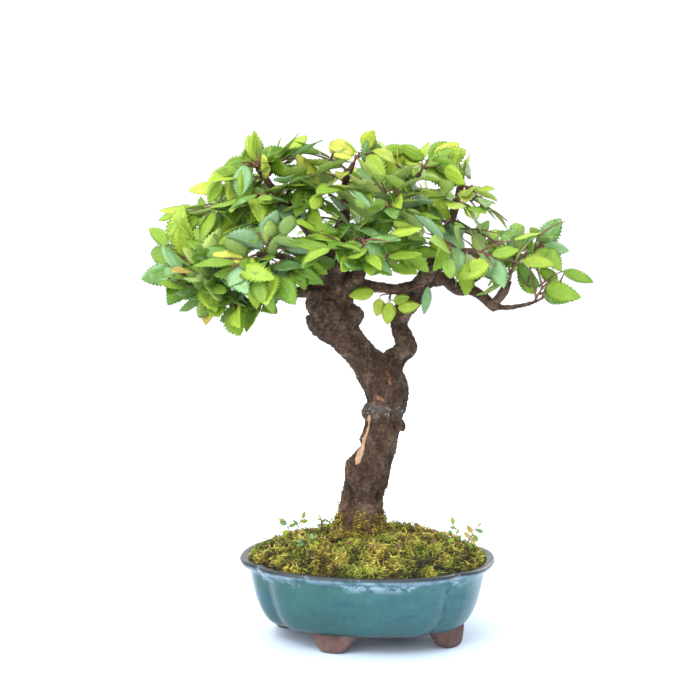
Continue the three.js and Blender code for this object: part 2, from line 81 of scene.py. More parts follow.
# The wall as [height, inset from the lip], from the underside over the lip to the inner floor.
POT_PROFILE = [
    [BODY_BOTTOM, 60], [BODY_BOTTOM, 40], [BODY_BOTTOM, 25], [11.3, 21.9], [12.6, 19.4],
    [15, 16.8], [20, 13.7], [25, 11.7], [30, 10.2], [38, 8.3], [44.7, 7.1], [47.2, 6.2],
    [49.2, 4.3], [51, 1.5], [52.4, 0.35], [53.8, 0.1], [54.9, 0.9], [RIM_TOP, 2.4],
    [54.9, 4.6], [53.6, 6.9], [51.2, 8.9], [46.2, 11.6], [37.2, 14.2], [28, 16.8], [21, 22.3],
    [17.8, 27.3], [INNER_FLOOR, 32], [INNER_FLOOR, 45], [INNER_FLOOR, 60],
]
FOOT_ANGLES = {"foot_front": -108, "foot_right": -16.4, "foot_back": 72, "foot_left": 163.6}
FOOT_INSET = 18.6
FOOT_LEAN = 2.6
FOOT_THICKNESS = 13.0
FOOT_HEIGHT = 13.4
FOOT_TOP_HALF = 17.0
FOOT_BASE_HALF = 7.0
FOOT_ROWS, FOOT_AROUND = 22, 48
FOOT_BLUNTNESS = 0.62


def smooth_path(points, count):
    """A curve through every point: each stretch is the cubic whose slope at a point is half the
    step between that point's neighbours. Sampled evenly in the points' order."""
    points = np.asarray(points, float)
    padded = np.vstack([2 * points[0] - points[1], points, 2 * points[-1] - points[-2]])
    step = np.linspace(0, len(points) - 1, count)
    at = np.minimum(step.astype(int), len(points) - 2)
    t = (step - at)[:, None]
    a, b, c, d = (padded[at + k] for k in range(4))
    return 0.5 * (2 * b + (c - a) * t + (2 * a - 5 * b + 4 * c - d) * t**2
                  + (3 * b - a - 3 * c + d) * t**3)


def turns(count):
    """Angles spaced evenly once round a circle."""
    return np.linspace(0, 2 * np.pi, count, endpoint=False)


def plan_radius(angle, inset):
    """Distance of the pot's outline from its middle: a power-2.25 oval, less a dip that grows
    with the 1.5th power towards each notch."""
    across = np.abs(np.cos(angle)) / (POT_HALF_LENGTH - inset)
    deep = np.abs(np.sin(angle)) / (POT_HALF_DEPTH - inset)
    oval = (across**PLAN_POWER + deep**PLAN_POWER) ** (-1 / PLAN_POWER)
    from_x = np.arctan2(np.abs(np.sin(angle)), np.abs(np.cos(angle)))
    away = np.minimum(1, np.abs(from_x - NOTCH_ANGLE) / NOTCH_SPREAD)
    return oval - NOTCH_DEPTH * (1 - away) ** 1.5


def grain(points, size, seed):
    """Smooth random relief from -1 to 1: each corner of a lattice has a number made from the
    fraction of a large sine, and a point takes the smooth blend of its cell's eight corners."""
    cells = points / size
    low = np.floor(cells)
    part = cells - low
    part = part * part * (3 - 2 * part)
    total = np.zeros(len(points))
    for corner in itertools.product((0, 1), repeat=3):
        wave = np.sin((low + corner) @ np.array([127.1, 311.7, 74.7]) + seed) * 43758.5453
        total += (wave - np.floor(wave)) * np.prod(np.where(corner, part, 1 - part), axis=1)
    return 2 * total - 1


def ring_quads(rows, around):
    """Quads between neighbouring rings of equally many points."""
    row, column = np.meshgrid(np.arange(rows - 1), np.arange(around), indexing="ij")
    beside = (column + 1) % around
    return np.stack([row * around + column, row * around + beside,
                     (row + 1) * around + beside, (row + 1) * around + column], -1).reshape(-1, 4)


def tube_faces(rows, around, start=0):
    """Faces of a closed tube of rings: its quads, and a fan of triangles to a pole at each end.
    The poles are the two points after the last ring."""
    one = np.arange(around)
    two = (one + 1) % around
    first = np.stack([np.full(around, rows * around), two, one], -1)
    last = np.stack([np.full(around, rows * around + 1), (rows - 1) * around + one,
                     (rows - 1) * around + two], -1)
    return ring_quads(rows, around) + start, np.vstack([first, last]) + start


def with_poles(rings):
    """The points of a tube's rings, followed by the middle of its first ring and of its last."""
    return np.vstack([rings.reshape(-1, 3), rings[0].mean(0), rings[-1].mean(0)])


def in_pot(points):
    """Places from the pot's middle, in millimetres, as places of the frame in metres."""
    return points.reshape(-1, 3) * MM + pot_middle


def placed(name, data):
    """A new object of the scene, from its data."""
    thing = bpy.data.objects.new(name, data)
    bpy.context.scene.collection.objects.link(thing)
    return thing


def surface(name, points, blocks):
    """A new object at the origin, from points in metres and blocks of equal-sided faces."""
    mesh = bpy.data.meshes.new(name)
    faces = list(itertools.chain.from_iterable(block.tolist() for block in blocks))
    mesh.from_pydata(points.tolist(), [], faces)
    return placed(name, mesh)


def make_piece(name, points, blocks, replaces, materials=()):
    """A smooth surface that rides the only body and takes the place of CAD nodes."""
    piece = surface(name, points, blocks)
    piece.data.shade_smooth()
    for material in materials:
        piece.data.materials.append(material)
    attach(piece, "root")
    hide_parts(*replaces)
    return piece


def set_numbers(piece, name, values):
    """Gives each point of a piece a number, or three, that its material reads by name."""
    values = np.asarray(values, float)
    kind = "FLOAT" if values.ndim == 1 else "FLOAT_VECTOR"
    layer = piece.data.attributes.new(name, kind, "POINT")
    layer.data.foreach_set("value" if kind == "FLOAT" else "vector", values.ravel())


class Finish:
    """A node material: each method adds a node or a few and returns what they put out."""

    def __init__(self, name):
        self.material = bpy.data.materials.new(name)
        self.material.use_nodes = True
        self.nodes = self.material.node_tree.nodes
        self.links = self.material.node_tree.links
        self.shader = self.nodes["Principled BSDF"]
        self.place = self.nodes.new("ShaderNodeTexCoord").outputs["Object"]

    def add(self, kind, inputs=None, **settings):
        """A node of a kind, its inputs and settings given by name."""
        node = self.nodes.new("ShaderNode" + kind)
        for key, value in settings.items():
            setattr(node, key, value)
        for key, value in (inputs or {}).items():
            self.set(node.inputs[key], value)
        return node

    def set(self, socket, value):
        """Links a socket to another's value, or sets it to a number, a vector or a colour."""
        if isinstance(value, bpy.types.NodeSocket):
            self.links.new(value, socket)
        elif socket.type == "RGBA":
            socket.default_value = (*value, 1)
        else:
            socket.default_value = value

    def noise(self, scale, detail=4.0, roughness=0.55, place=None):
        """Cloudy noise around one half, its lumps 1 / scale metres wide."""
        return self.add("TexNoise", {"Vector": place or self.place, "Scale": scale,
                                     "Detail": detail, "Roughness": roughness}).outputs["Fac"]

    def cells(self, scale):
        """The distance from the nearest of many scattered points."""
        return self.add("TexVoronoi", {"Vector": self.place, "Scale": scale}).outputs["Distance"]

    def split(self, vector=None):
        """The three parts of a vector, or of the place on the piece."""
        return self.add("SeparateXYZ", {"Vector": vector or self.place}).outputs[:]

    def stretched(self, scale):
        """The place on the piece with each axis multiplied, which squeezes a pattern along it."""
        return self.add("Mapping", {"Vector": self.place, "Scale": scale}).outputs["Vector"]

    def number(self, name):
        """A number that set_numbers gave the piece's points."""
        return self.add("Attribute", attribute_name=name).outputs["Fac"]

    def ramp(self, value, *stops):
        """Colours in a row, each as (value, colour), blended between their values."""
        node = self.add("ValToRGB", {"Fac": value})
        points = node.color_ramp.elements
        while len(points) < len(stops):
            points.new(0.5)
        for point, (where, color) in zip(points, stops):
            point.position = where
            point.color = (*color, 1)
        return node.outputs["Color"]

    def mix(self, share, first, second, blend="MIX"):
        """The first colour with a share of the second over it."""
        node = self.add("Mix", data_type="RGBA", blend_type=blend)
        self.set(node.inputs[0], share)
        self.set(node.inputs[6], first)
        self.set(node.inputs[7], second)
        return node.outputs[2]

    def math(self, operation, first, second=0.0):
        """One sum of two numbers."""
        node = self.add("Math", operation=operation)
        self.set(node.inputs[0], first)
        self.set(node.inputs[1], second)
        return node.outputs[0]

    def times(self, first, second):
        """The product of two numbers."""
        return self.math("MULTIPLY", first, second)

    def between(self, value, low, high, to_low=0.0, to_high=1.0):
        """A value spread so that low becomes to_low and high to_high, and kept between them."""
        return self.add("MapRange", {"Value": value, "From Min": low, "From Max": high,
                                     "To Min": to_low, "To Max": to_high}).outputs["Result"]

    def clouds(self, low, high, *noise):
        """Noise, spread so that one of its values gives 0 and another 1."""
        return self.between(self.noise(*noise), low, high)

    def ragged(self, value, low, high, *noise):
        """A value with noise added to it that runs from low to high."""
        return self.math("ADD", value, self.between(self.noise(*noise), 0.3, 0.7, low, high))

    def coat(self, under, where, strength, color):
        """A colour laid over another, as strongly as a mask times a strength."""
        return self.mix(self.times(where, strength), under, color)

    def bump(self, height, strength, distance, under=None):
        """A relief of a height in metres, laid over another where one is given."""
        node = self.add("Bump", {"Height": height, "Strength": strength, "Distance": distance})
        if under is not None:
            self.set(node.inputs["Normal"], under)
        return node.outputs["Normal"]

    def finish(self, **sockets):
        """Sets the shader's sockets by name, with _ for a space, and gives the material."""
        for name, value in sockets.items():
            self.set(self.shader.inputs[name.replace("_", " ")], value)
        return self.material


def pot_material():
    """Blue-green glaze, lighter and bluer to the right as a painted reflection of the surroundings,
    that pools darker in bands half way up, is near black on the lip and crawls to pale patches
    under it, over bare clay low down."""
    f = Finish("pot_glaze")
    x, _, z = f.split()
    height = f.ragged(z, -0.0035, 0.0035, 45, 3)
    # Painted reflection: the glaze gets lighter and bluer from left to right, standing in for the
    # bright surroundings reflected on the right of the pot.
    side = f.between(f.ragged(x, -0.03, 0.03, 22, 2), -0.07, 0.08)
    shade = f.ramp(side, (0, (0.013, 0.070, 0.064)), (0.5, (0.021, 0.095, 0.092)),
                   (1, (0.031, 0.114, 0.126)))
    deep = f.ramp(f.between(height, 0.012, 0.048), (0, (1.05, 0.80, 0.80)),
                  (0.35, (1.0, 0.90, 0.90)), (0.6, (1.05, 1.0, 1.0)), (0.85, (1.25, 1.14, 1.10)))
    glaze = f.mix(1.0, shade, deep, "MULTIPLY")
    bands = f.clouds(0.46, 0.60, 26, 4, 0.6, f.stretched((1, 1, 4.5)))
    from_middle = f.math("ABSOLUTE", f.math("SUBTRACT", height, 0.029))
    pools = f.times(bands, f.between(from_middle, 0.014, 0.002))
    glaze = f.coat(glaze, pools, 0.85, (0.010, 0.062, 0.095))
    mottle = f.ramp(f.noise(190, 6, 0.68), (0.30, (0.80, 0.82, 0.82)), (0.72, (1.16, 1.14, 1.14)))
    glaze = f.mix(1.0, glaze, mottle, "MULTIPLY")
    crawl = f.times(f.between(z, 0.0435, 0.0485), f.between(z, 0.0542, 0.0522))
    crawl = f.times(crawl, f.clouds(0.50, 0.56, 38, 6, 0.76))
    crawl = f.times(crawl, f.between(f.noise(16, 1), 0.42, 0.54, 0.2, 1))
    glaze = f.coat(glaze, crawl, 0.75, (0.38, 0.48, 0.58))
    worn = f.times(f.between(z, 0.0484, 0.0504), f.clouds(0.35, 0.55, 150, 5, 0.7))
    glaze = f.coat(glaze, worn, 0.7, (0.20, 0.27, 0.33))
    lip = f.times(f.between(z, 0.0525, 0.0538), f.clouds(0.26, 0.44, 90, 5, 0.7))
    glaze = f.coat(glaze, lip, 0.94, (0.012, 0.014, 0.022))
    specks = f.times(f.between(f.cells(300), 0.10, 0.05), f.clouds(0.54, 0.62, 38, 2))
    glaze = f.coat(glaze, specks, 0.5, (0.25, 0.33, 0.33))
    crack = f.times(f.number("crease"), f.clouds(0.42, 0.52, 90, 3))
    glaze = f.coat(glaze, crack, 0.75, (0.004, 0.024, 0.030))
    bare = f.between(f.ragged(f.number("bare"), -0.32, 0.32, 140, 3), 0.47, 0.53)
    pits = f.clouds(0.3, 0.7, 620, 3)
    return f.finish(
        Base_Color=f.mix(bare, glaze, clay_color(f)),
        Roughness=f.between(bare, 0, 1, 0.26, 0.85),
        Specular_IOR_Level=0.3,
        Coat_Weight=f.between(bare, 0, 1, 0.12, 0),
        Coat_Roughness=0.1,
        Normal=f.bump(pits, 0.25, 0.0004, f.bump(f.noise(55, 3), 0.4, 0.0012)),
    )


def clay_color(f):
    """Reddish-brown fired clay with darker and paler clouds."""
    return f.ramp(f.noise(120, 6, 0.65), (0.3, (0.066, 0.032, 0.028)),
                  (0.55, (0.108, 0.057, 0.051)), (0.75, (0.155, 0.092, 0.084)))


def clay_material():
    """Unglazed stoneware: clouded reddish clay with a sandy surface."""
    f = Finish("bare_clay")
    return f.finish(
        Base_Color=clay_color(f),
        Roughness=0.88,
        Normal=f.bump(f.noise(900, 4, 0.7), 0.5, 0.0004, f.bump(f.noise(90, 3), 0.5, 0.0012)),
    )


POT_MATERIAL = pot_material()
CLAY_MATERIAL = clay_material()

angles = turns(POT_AROUND)
profile = smooth_path(POT_PROFILE, PROFILE_ROWS)
wall_radius = plan_radius(angles[None, :], profile[:, 1:2])
wall = np.stack([wall_radius * np.cos(angles), wall_radius * np.sin(angles),
                 np.repeat(profile[:, :1], POT_AROUND, 1)], -1)
wall_points = with_poles(wall)

# The wall is a little uneven, as thrown and dipped ware is, but its floor and base are flat.
thrown = 0.25 * grain(wall_points, 16.0, 3.0) + 0.1 * grain(wall_points, 6.0, 8.0)
wall_height = wall_points[:, 2] - BODY_BOTTOM
flat = np.clip(wall_height, 0, 4) / 4 * (wall_points[:, 2] > INNER_FLOOR + 0.5)
outward = wall_points * [1, 1, 0] / (np.linalg.norm(wall_points[:, :2], axis=1)[:, None] + 1e-9)
wall_points = wall_points + outward * (thrown * flat)[:, None]

# Bare clay on the underside, the lowest band and the inside; a thin crack in the front right notch.
wall_bare = np.clip(1 - wall_height / BARE_BAND, 0, 1)
wall_bare[np.hypot(wall_points[:, 0], wall_points[:, 1]) < 1] = 1
inner_rows = np.repeat(np.arange(PROFILE_ROWS) > LAST_GLAZED_ROW, POT_AROUND)
wall_bare[:-2][inner_rows] = 1
bearing = np.arctan2(wall_points[:, 1], wall_points[:, 0]) + NOTCH_ANGLE
crease_rows = (wall_points[:, 2] > CREASE_LOW) & (wall_points[:, 2] < CREASE_HIGH)
wall_crease = np.exp(-(bearing / CREASE_SPREAD) ** 2) * crease_rows


def foot_surface(degrees):
    """A bracket foot: rounded oblongs stacked upwards, their half width running from the base's
    to the top's with a hollow curve. It stands square to the wall and leans in under it."""
    share = np.linspace(0, 1, FOOT_ROWS)
    opening = 0.45 * share + 0.55 * np.sqrt(share)
    half = FOOT_BASE_HALF + (FOOT_TOP_HALF - FOOT_BASE_HALF) * opening
    tuck = 1 - 0.22 * np.exp(-share * 12)
    turn = turns(FOOT_AROUND)
    blunt_x, blunt_y = (np.sign(wave) * np.abs(wave) ** FOOT_BLUNTNESS
                        for wave in (np.cos(turn), np.sin(turn)))
    along = (half * tuck)[:, None] * blunt_x
    through = (FOOT_THICKNESS / 2 * tuck)[:, None] * blunt_y - (FOOT_LEAN * share)[:, None]
    height = (FOOT_HEIGHT * share)[:, None, None] * np.ones(along.shape + (1,))
    angle = math.radians(degrees)
    radius = plan_radius(np.array(angle), FOOT_INSET)
    face = np.array([radius * math.cos(angle), radius * math.sin(angle)])
    facing = math.atan2(face[1] / (POT_HALF_DEPTH - FOOT_INSET) ** 2,
                        face[0] / (POT_HALF_LENGTH - FOOT_INSET) ** 2)
    out = np.array([math.cos(facing), math.sin(facing)])
    beside = np.array([-out[1], out[0]])
    middle = face - out * FOOT_THICKNESS / 2
    flat_places = middle + along[..., None] * beside + through[..., None] * out
    points = with_poles(np.concatenate([flat_places, height], -1))
    worn = 0.5 * grain(points, 7.0, degrees) * np.clip(points[:, 2] / 3, 0, 1)
    points[:, :2] += worn[:, None] * out
    return points, tube_faces(FOOT_ROWS, FOOT_AROUND)


pot = make_piece("glazed_pot", in_pot(wall_points), tube_faces(PROFILE_ROWS, POT_AROUND),
                 ["pot"], [POT_MATERIAL])
set_numbers(pot, "bare", wall_bare)
set_numbers(pot, "crease", wall_crease)


def settled(piece):
    """Makes the mesh that a piece's modifiers show the piece's own, and returns it."""
    shown = piece.evaluated_get(bpy.context.evaluated_depsgraph_get())
    mesh = bpy.data.meshes.new_from_object(shown)
    piece.modifiers.clear()
    piece.data = mesh
    return mesh


def drilled(piece, mesh_name):
    """Takes an upright cylinder out of the pot's floor, under the middle of a drain mesh."""
    middle = np.mean(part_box(mesh_name), axis=0) * [1, 1, 0]
    turn = turns(DRAIN_AROUND)
    circle = np.stack([np.cos(turn), np.sin(turn), 0 * turn], -1) * DRAIN_RADIUS
    ends = np.array([[0, 0, BODY_BOTTOM - DRILL_PAST], [0, 0, INNER_FLOOR + DRILL_PAST]], float)
    rings = with_poles(ends[:, None] + circle) * MM + middle
    drill = surface("drill", rings, tube_faces(2, DRAIN_AROUND))
    modifier = piece.modifiers.new("hole", "BOOLEAN")
    modifier.operation = "DIFFERENCE"
    modifier.solver = "EXACT"
    modifier.object = drill
    settled(piece)
    bpy.data.objects.remove(drill)


drilled(pot, "drain_mesh_left")
drilled(pot, "drain_mesh_right")
for name, degrees in FOOT_ANGLES.items():
    foot_points, faces = foot_surface(degrees)
    make_piece(f"clay_{name}", in_pot(foot_points), faces, [name], [CLAY_MATERIAL])

# -------------------------------------------------------------------------------- the drain mesh
# Two squares of black moulded plastic mesh that lie loose over the drain holes.


def plastic_material():
    """Black moulded plastic with a faint matt grain and a dusting of soil."""
    f = Finish("mesh_plastic")
    return f.finish(
        Base_Color=f.coat((0.012, 0.012, 0.012), f.clouds(0.5, 0.7, 300, 5), 0.5,
                          (0.08, 0.055, 0.035)),
        Roughness=0.55,
        Normal=f.bump(f.noise(1500, 3), 0.2, 0.0001),
    )


def dress(name, material):
    """Gives a CAD node that is shown as it is its material."""
    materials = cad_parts[name].data.materials
    materials.clear()
    materials.append(material)


PLASTIC_MATERIAL = plastic_material()
dress("drain_mesh_left", PLASTIC_MATERIAL)
dress("drain_mesh_right", PLASTIC_MATERIAL)

# --------------------------------------------------------------------------------------- the soil
# A ball of dark crumbly compost and fine roots that fills the pot under the moss.


def soil_material():
    """Dark brown compost: coarse crumbs with pale grit between them."""
    f = Finish("soil")
    return f.finish(
        Base_Color=f.ramp(f.noise(420, 6, 0.7), (0.3, (0.018, 0.010, 0.006)),
                          (0.6, (0.060, 0.036, 0.020)), (0.8, (0.17, 0.12, 0.075))),
        Roughness=0.95,
        Normal=f.bump(f.cells(600), 0.8, 0.001),
    )


dress("soil", soil_material())

# --------------------------------------------------------------------------------------- the moss
# A living carpet of feathery moss over the soil, mounded up to the trunk: a lumpy mat, and on it
# thousands of curly strands.

GROUND_EDGE = 7.6
MOSS_RIM_HEIGHT = 56.2
MOUND_HEIGHT = 13.5
MAT_SINK = 2.0
MAT_BOTTOM = 52.4
MAT_ROWS = 120
MAT_AROUND = 220
STRAND_COUNT = 30000
STRAND_PIECES = 6
EDGE_SHARE = 0.12
STRAND_RINGS = 6
LONG_SHARE = 0.12
luck = np.random.default_rng(7)


def ground_height(x, y):
    """Top of the moss at a place in the pot: a mound that falls with the cube of the share of the
    way out, a rise behind the trunk, and low lumps from two crossed waves."""
    share = np.clip(np.hypot(x, y) / plan_radius(np.arctan2(y, x), GROUND_EDGE), 0, 1)
    rise = 4.5 * np.exp(-((x - 20) ** 2 + (y - 8) ** 2) / 26**2)
    lumps = 0.9 * np.sin(x * 0.16) * np.cos(y * 0.19) + 0.5 * np.sin(x * 0.37 + y * 0.31)
    return MOSS_RIM_HEIGHT + MOUND_HEIGHT * (1 - share**3) + (rise + lumps) * (1 - share**4)


def moss_material(name, dark, light, greenness=0.85):
    """Moss from brown in the gaps to yellow-green on the tips, with dry brown patches, and
    greener at the back left."""
    f = Finish(name)
    x, y, _ = f.split()
    back_left = f.between(f.math("SUBTRACT", y, x), -0.02, 0.09)
    patch = f.math("ADD", f.clouds(0.38, 0.62, 48, 4, 0.6), f.times(back_left, 0.45))
    tone = f.ragged(f.number("tone"), -0.32, 0.26, 120, 4)
    gold = f.ramp(tone, (0.05, dark), (0.40, (0.095, 0.066, 0.010)), (0.68, (0.36, 0.285, 0.030)),
                  (1, light))
    green = f.ramp(tone, (0.05, dark), (0.40, (0.050, 0.068, 0.007)),
                   (0.68, (0.180, 0.24, 0.018)), (1, (0.44, 0.50, 0.07)))
    color = f.coat(gold, f.between(patch, 0.15, 0.85), greenness, green)
    dry = f.clouds(0.60, 0.70, 60, 4, 0.65, f.stretched((1, 1, 0.3)))
    color = f.coat(color, dry, 0.7, (0.075, 0.040, 0.022))
    return f.finish(
        Base_Color=color,
        Roughness=0.85,
        Subsurface_Weight=0.08,
        Subsurface_Radius=(0.002, 0.003, 0.001),
        Subsurface_Scale=0.6,
        Normal=f.bump(f.noise(900, 4), 0.6, 0.0006),
    )


MAT_MATERIAL = moss_material("moss_mat", (0.010, 0.006, 0.003), (0.18, 0.15, 0.02))
STRAND_MATERIAL = moss_material("moss_strands", (0.020, 0.012, 0.005), (0.74, 0.64, 0.14))


def clumps(places):
    """Relief of the mat: cushions a finger wide with narrow hollows between them, and lumps."""
    cushions = 1 - 2 * np.abs(grain(places * [1, 1, 0], 10.0, 1.0))
    return 1.7 * cushions + 1.4 * grain(places * [1, 1, 0], 3.8, 2.0)


mat_angles = turns(MAT_AROUND)
shares = np.linspace(1, 0.012, MAT_ROWS)
edge = plan_radius(mat_angles, GROUND_EDGE)
mat_x = shares[:, None] * edge * np.cos(mat_angles)
mat_y = shares[:, None] * edge * np.sin(mat_angles)
mat_top = np.stack([mat_x, mat_y, ground_height(mat_x, mat_y) - MAT_SINK], -1)
fine = 0.8 * grain(mat_top.reshape(-1, 3), 2.2, 5.0)
mat_relief = (clumps(mat_top.reshape(-1, 3)) + fine).reshape(mat_x.shape)
mat_top[..., 2] += mat_relief * np.clip((1 - shares[:, None]) * 12, 0.3, 1)
mat_bottom = mat_top[:1] * [1, 1, 0] + [0, 0, MAT_BOTTOM]
underside = mat_bottom * [0.5, 0.5, 1]
mat_points = with_poles(np.concatenate([underside, mat_bottom, mat_top]))
mat = make_piece("moss_mat", in_pot(mat_points), tube_faces(MAT_ROWS + 2, MAT_AROUND),
                 ["moss"], [MAT_MATERIAL])
set_numbers(mat, "tone", 0.14 + 0.12 * clumps(mat_points))


def curls(root, length, thick, tone, draw):
    """Curly strands: each is a three-sided thread of falling thickness that sets out at a slant
    from its root and bends steadily round as it goes. Its tip is paler than its root."""
    count = len(root)
    heading = draw.uniform(0, 2 * np.pi, count)
    lift = draw.uniform(0.1, 1.3, count)
    bend = draw.choice([-1, 1], count) * draw.uniform(1.5, 6.0, count)
    droop = draw.uniform(0.2, 2.8, count)
    t = np.linspace(0, 1, STRAND_RINGS)[None, :]
    course = heading[:, None] + bend[:, None] * t
    slope = lift[:, None] - droop[:, None] * t
    step = np.stack([np.cos(course) * np.cos(slope), np.sin(course) * np.cos(slope),
                     np.sin(slope)], -1)
    line = root[:, None] + np.cumsum(step, 1) * (length / STRAND_RINGS)[:, None, None]
    side = np.stack([-np.sin(course), np.cos(course), np.zeros_like(course)], -1)
    up = np.cross(step, side)
    radius = (thick[:, None] * (1 - 0.75 * t**2))[..., None]
    corner = np.arange(3) * 2 * np.pi / 3
    rings = (line[:, :, None] + radius[..., None] * (side[:, :, None] * np.cos(corner)[:, None]
             - up[:, :, None] * np.sin(corner)[:, None]))
    return rings, np.repeat(tone[:, None] + 0.3 * t, 3, axis=1)


def mat_strands(count, draw):
    """Strands all over the mat. Most are short and some are long and pale, and they are lighter on
    the cushions than in the hollows."""
    around = draw.uniform(0, 2 * np.pi, count)
    share = np.sqrt(draw.uniform(0.0, 1.0, count))
    at_edge = draw.uniform(0, 1, count) < EDGE_SHARE
    share = np.where(at_edge, draw.uniform(0.975, 1.0, count), share)
    reach = plan_radius(around, GROUND_EDGE + 0.2) * share
    x, y = reach * np.cos(around), reach * np.sin(around)
    root = np.stack([x, y, ground_height(x, y) - MAT_SINK - 0.5], -1)
    relief = clumps(root)
    root[:, 2] += relief * 0.9 - at_edge * draw.uniform(0, 2.4, count)
    long = draw.uniform(0, 1, count) < LONG_SHARE
    length = np.where(long, draw.uniform(6, 9, count), draw.uniform(2.5, 5.5, count))
    thick = np.where(long, draw.uniform(0.25, 0.36, count), draw.uniform(0.22, 0.42, count))
    tone = 0.22 + 0.17 * relief + draw.uniform(-0.22, 0.25, count) + 0.18 * long
    return curls(root, length, thick, tone, draw)


def thread_faces(count, rings, sides):
    """Faces of many equal threads, each a tube of rings closed by one flat face at each end."""
    ends = np.array([np.arange(sides)[::-1], (rings - 1) * sides + np.arange(sides)])
    start = (np.arange(count) * rings * sides)[:, None, None]
    return (ring_quads(rings, sides) + start).reshape(-1, 4), (ends + start).reshape(-1, sides)


def strand_piece(name, points, tone, material):
    """One piece of strands, from their points in metres and the tone at each."""
    piece = make_piece(name, points, thread_faces(len(tone), STRAND_RINGS, 3), ["moss"],
                       [material])
    set_numbers(piece, "tone", tone.ravel())


for number in range(STRAND_PIECES):
    rings, tone = mat_strands(STRAND_COUNT // STRAND_PIECES, luck)
    strand_piece(f"moss_strands_{number + 1}", in_pot(rings), tone, STRAND_MATERIAL)

# -------------------------------------------------------------------------- the trunk and boughs
# One grown piece of elm wood: a crooked trunk that forks, its boughs and its root flare, under
# dark flaking bark with knobs, pruning scars and a strip of torn pale wood.

TRUNK = [
    [-5, 1, 50, 20], [-4.5, 1, 62, 17.5], [-4.3, 0, 73, 15.4], [-4.2, 0, 87, 14.2],
    [-3.3, 1, 97, 12.6], [-0.8, 1, 107, 14.2], [1.2, 0, 114, 14.8], [5.6, -1, 124, 12],
    [7.4, -1, 131, 11.4], [9.8, 0, 139, 11.2], [12.3, 2, 150, 11], [13.6, 3, 160, 13.2],
    [12, 3, 169, 13.8], [5.8, 2, 177, 11.8], [-0.8, 0, 186, 9.6], [-6.8, -2, 194, 9],
    [-14, -3, 202, 10.2], [-20.6, -2, 208, 12], [-23.3, 0, 215, 13], [-23.2, 1, 223, 12.2],
    [-21.9, 2, 232, 11.6], [-23.6, 2, 241, 12], [-23, 3, 250, 10.4], [-21, 4, 259, 6.5],
]
RIGHT_STEM = [
    [11, 3, 168, 9], [15.7, 2, 182, 7.8], [20.3, 0, 189, 6.8], [25.6, -1, 195, 6.4],
    [24.2, 0, 201, 5.9], [20.4, 2, 208, 5.6], [21.5, 3, 216, 5.9], [26.8, 3, 224, 6.9],
    [32, 2, 231, 6.9], [36, 0, 238, 5.4],
]
BOUGHS = {
    "east": [[-20, 1, 237, 5.6], [-1.5, -4, 236, 3.9], [8.3, -5, 235, 3.4], [24.8, -2, 233.5, 3.6],
             [34.6, 0, 236, 5], [42.5, 0, 239.5, 4.6], [50.3, -1, 240.8, 4.4],
             [55.6, -2, 236.8, 3.8], [60.9, -3, 233, 3.6], [67.5, -4, 233.4, 3.5],
             [74.1, -5, 230.2, 3.2], [79.4, -6, 225.6, 2.8], [84, -6, 220.6, 2.2]],
    "eastStub": [[82, -6, 223, 2.6], [88, -7, 231, 2.6], [93, -7, 240, 2.2]],
    "eastTwig": [[82, -6, 222, 1.8], [94, -8, 222.3, 1.4], [104, -9, 224.3, 1.2],
                 [111, -9, 226.5, 1]],
    "eastRise": [[60.9, -3, 234, 2.8], [78, 4, 245, 2.2], [96, 8, 252, 1.7], [110, 8, 257, 1.2]],
    "eastTop": [[35, 0, 236, 5], [45, 4, 256, 3.8], [54, 6, 276, 3], [60, 4, 296, 2.2],
                [62, 2, 308, 1.5]],
    "eastBack": [[30, 4, 232, 4.6], [48, 22, 246, 3.4], [70, 34, 252, 2.4], [92, 40, 254, 1.6]],
    "frontRight": [[35, -1, 239, 4], [46, -22, 252, 3], [58, -38, 260, 2.2], [68, -46, 262, 1.5]],
    "crownRight": [[-19, 3, 254, 5], [2, -4, 272, 3.8], [18, -8, 290, 2.9], [34, -11, 310, 1.6]],
    "crown": [[-21, 5, 256, 5], [-15, 8, 282, 3.6], [-15, 9, 302, 2.5], [-9, 8, 316, 1.6]],
    "westTop": [[-23, 3, 250, 5], [-37, 4, 270, 3.9], [-52, 0, 288, 2.9], [-64, -4, 303, 2],
                [-72, -6, 313, 1.5]],
    "west": [[-22, 1, 243, 6], [-42, -6, 247, 4.2], [-64, -13, 243, 3.2], [-88, -19, 240, 2.4],
             [-112, -24, 243, 1.6]],
    "westLow": [[-23, -2, 229, 5], [-42, -16, 233, 3.4], [-60, -26, 231, 2.6], [-82, -31, 228, 2],
                [-100, -34, 230, 1.5]],
    "westBack": [[-24, 4, 246, 5.4], [-44, 22, 256, 3.8], [-66, 38, 262, 2.8], [-92, 48, 262, 1.7]],
    "front": [[-20, -4, 244, 5], [-14, -26, 256, 3.4], [-8, -44, 266, 2.4], [-4, -56, 270, 1.6]],
    "frontLeft": [[-26, -4, 240, 5], [-44, -30, 252, 3], [-58, -44, 259, 2.1],
                  [-70, -53, 260, 1.5]],
    "back": [[-21, 8, 246, 5], [-14, 34, 258, 3.6], [-8, 54, 268, 2.4], [0, 68, 272, 1.6]],
}

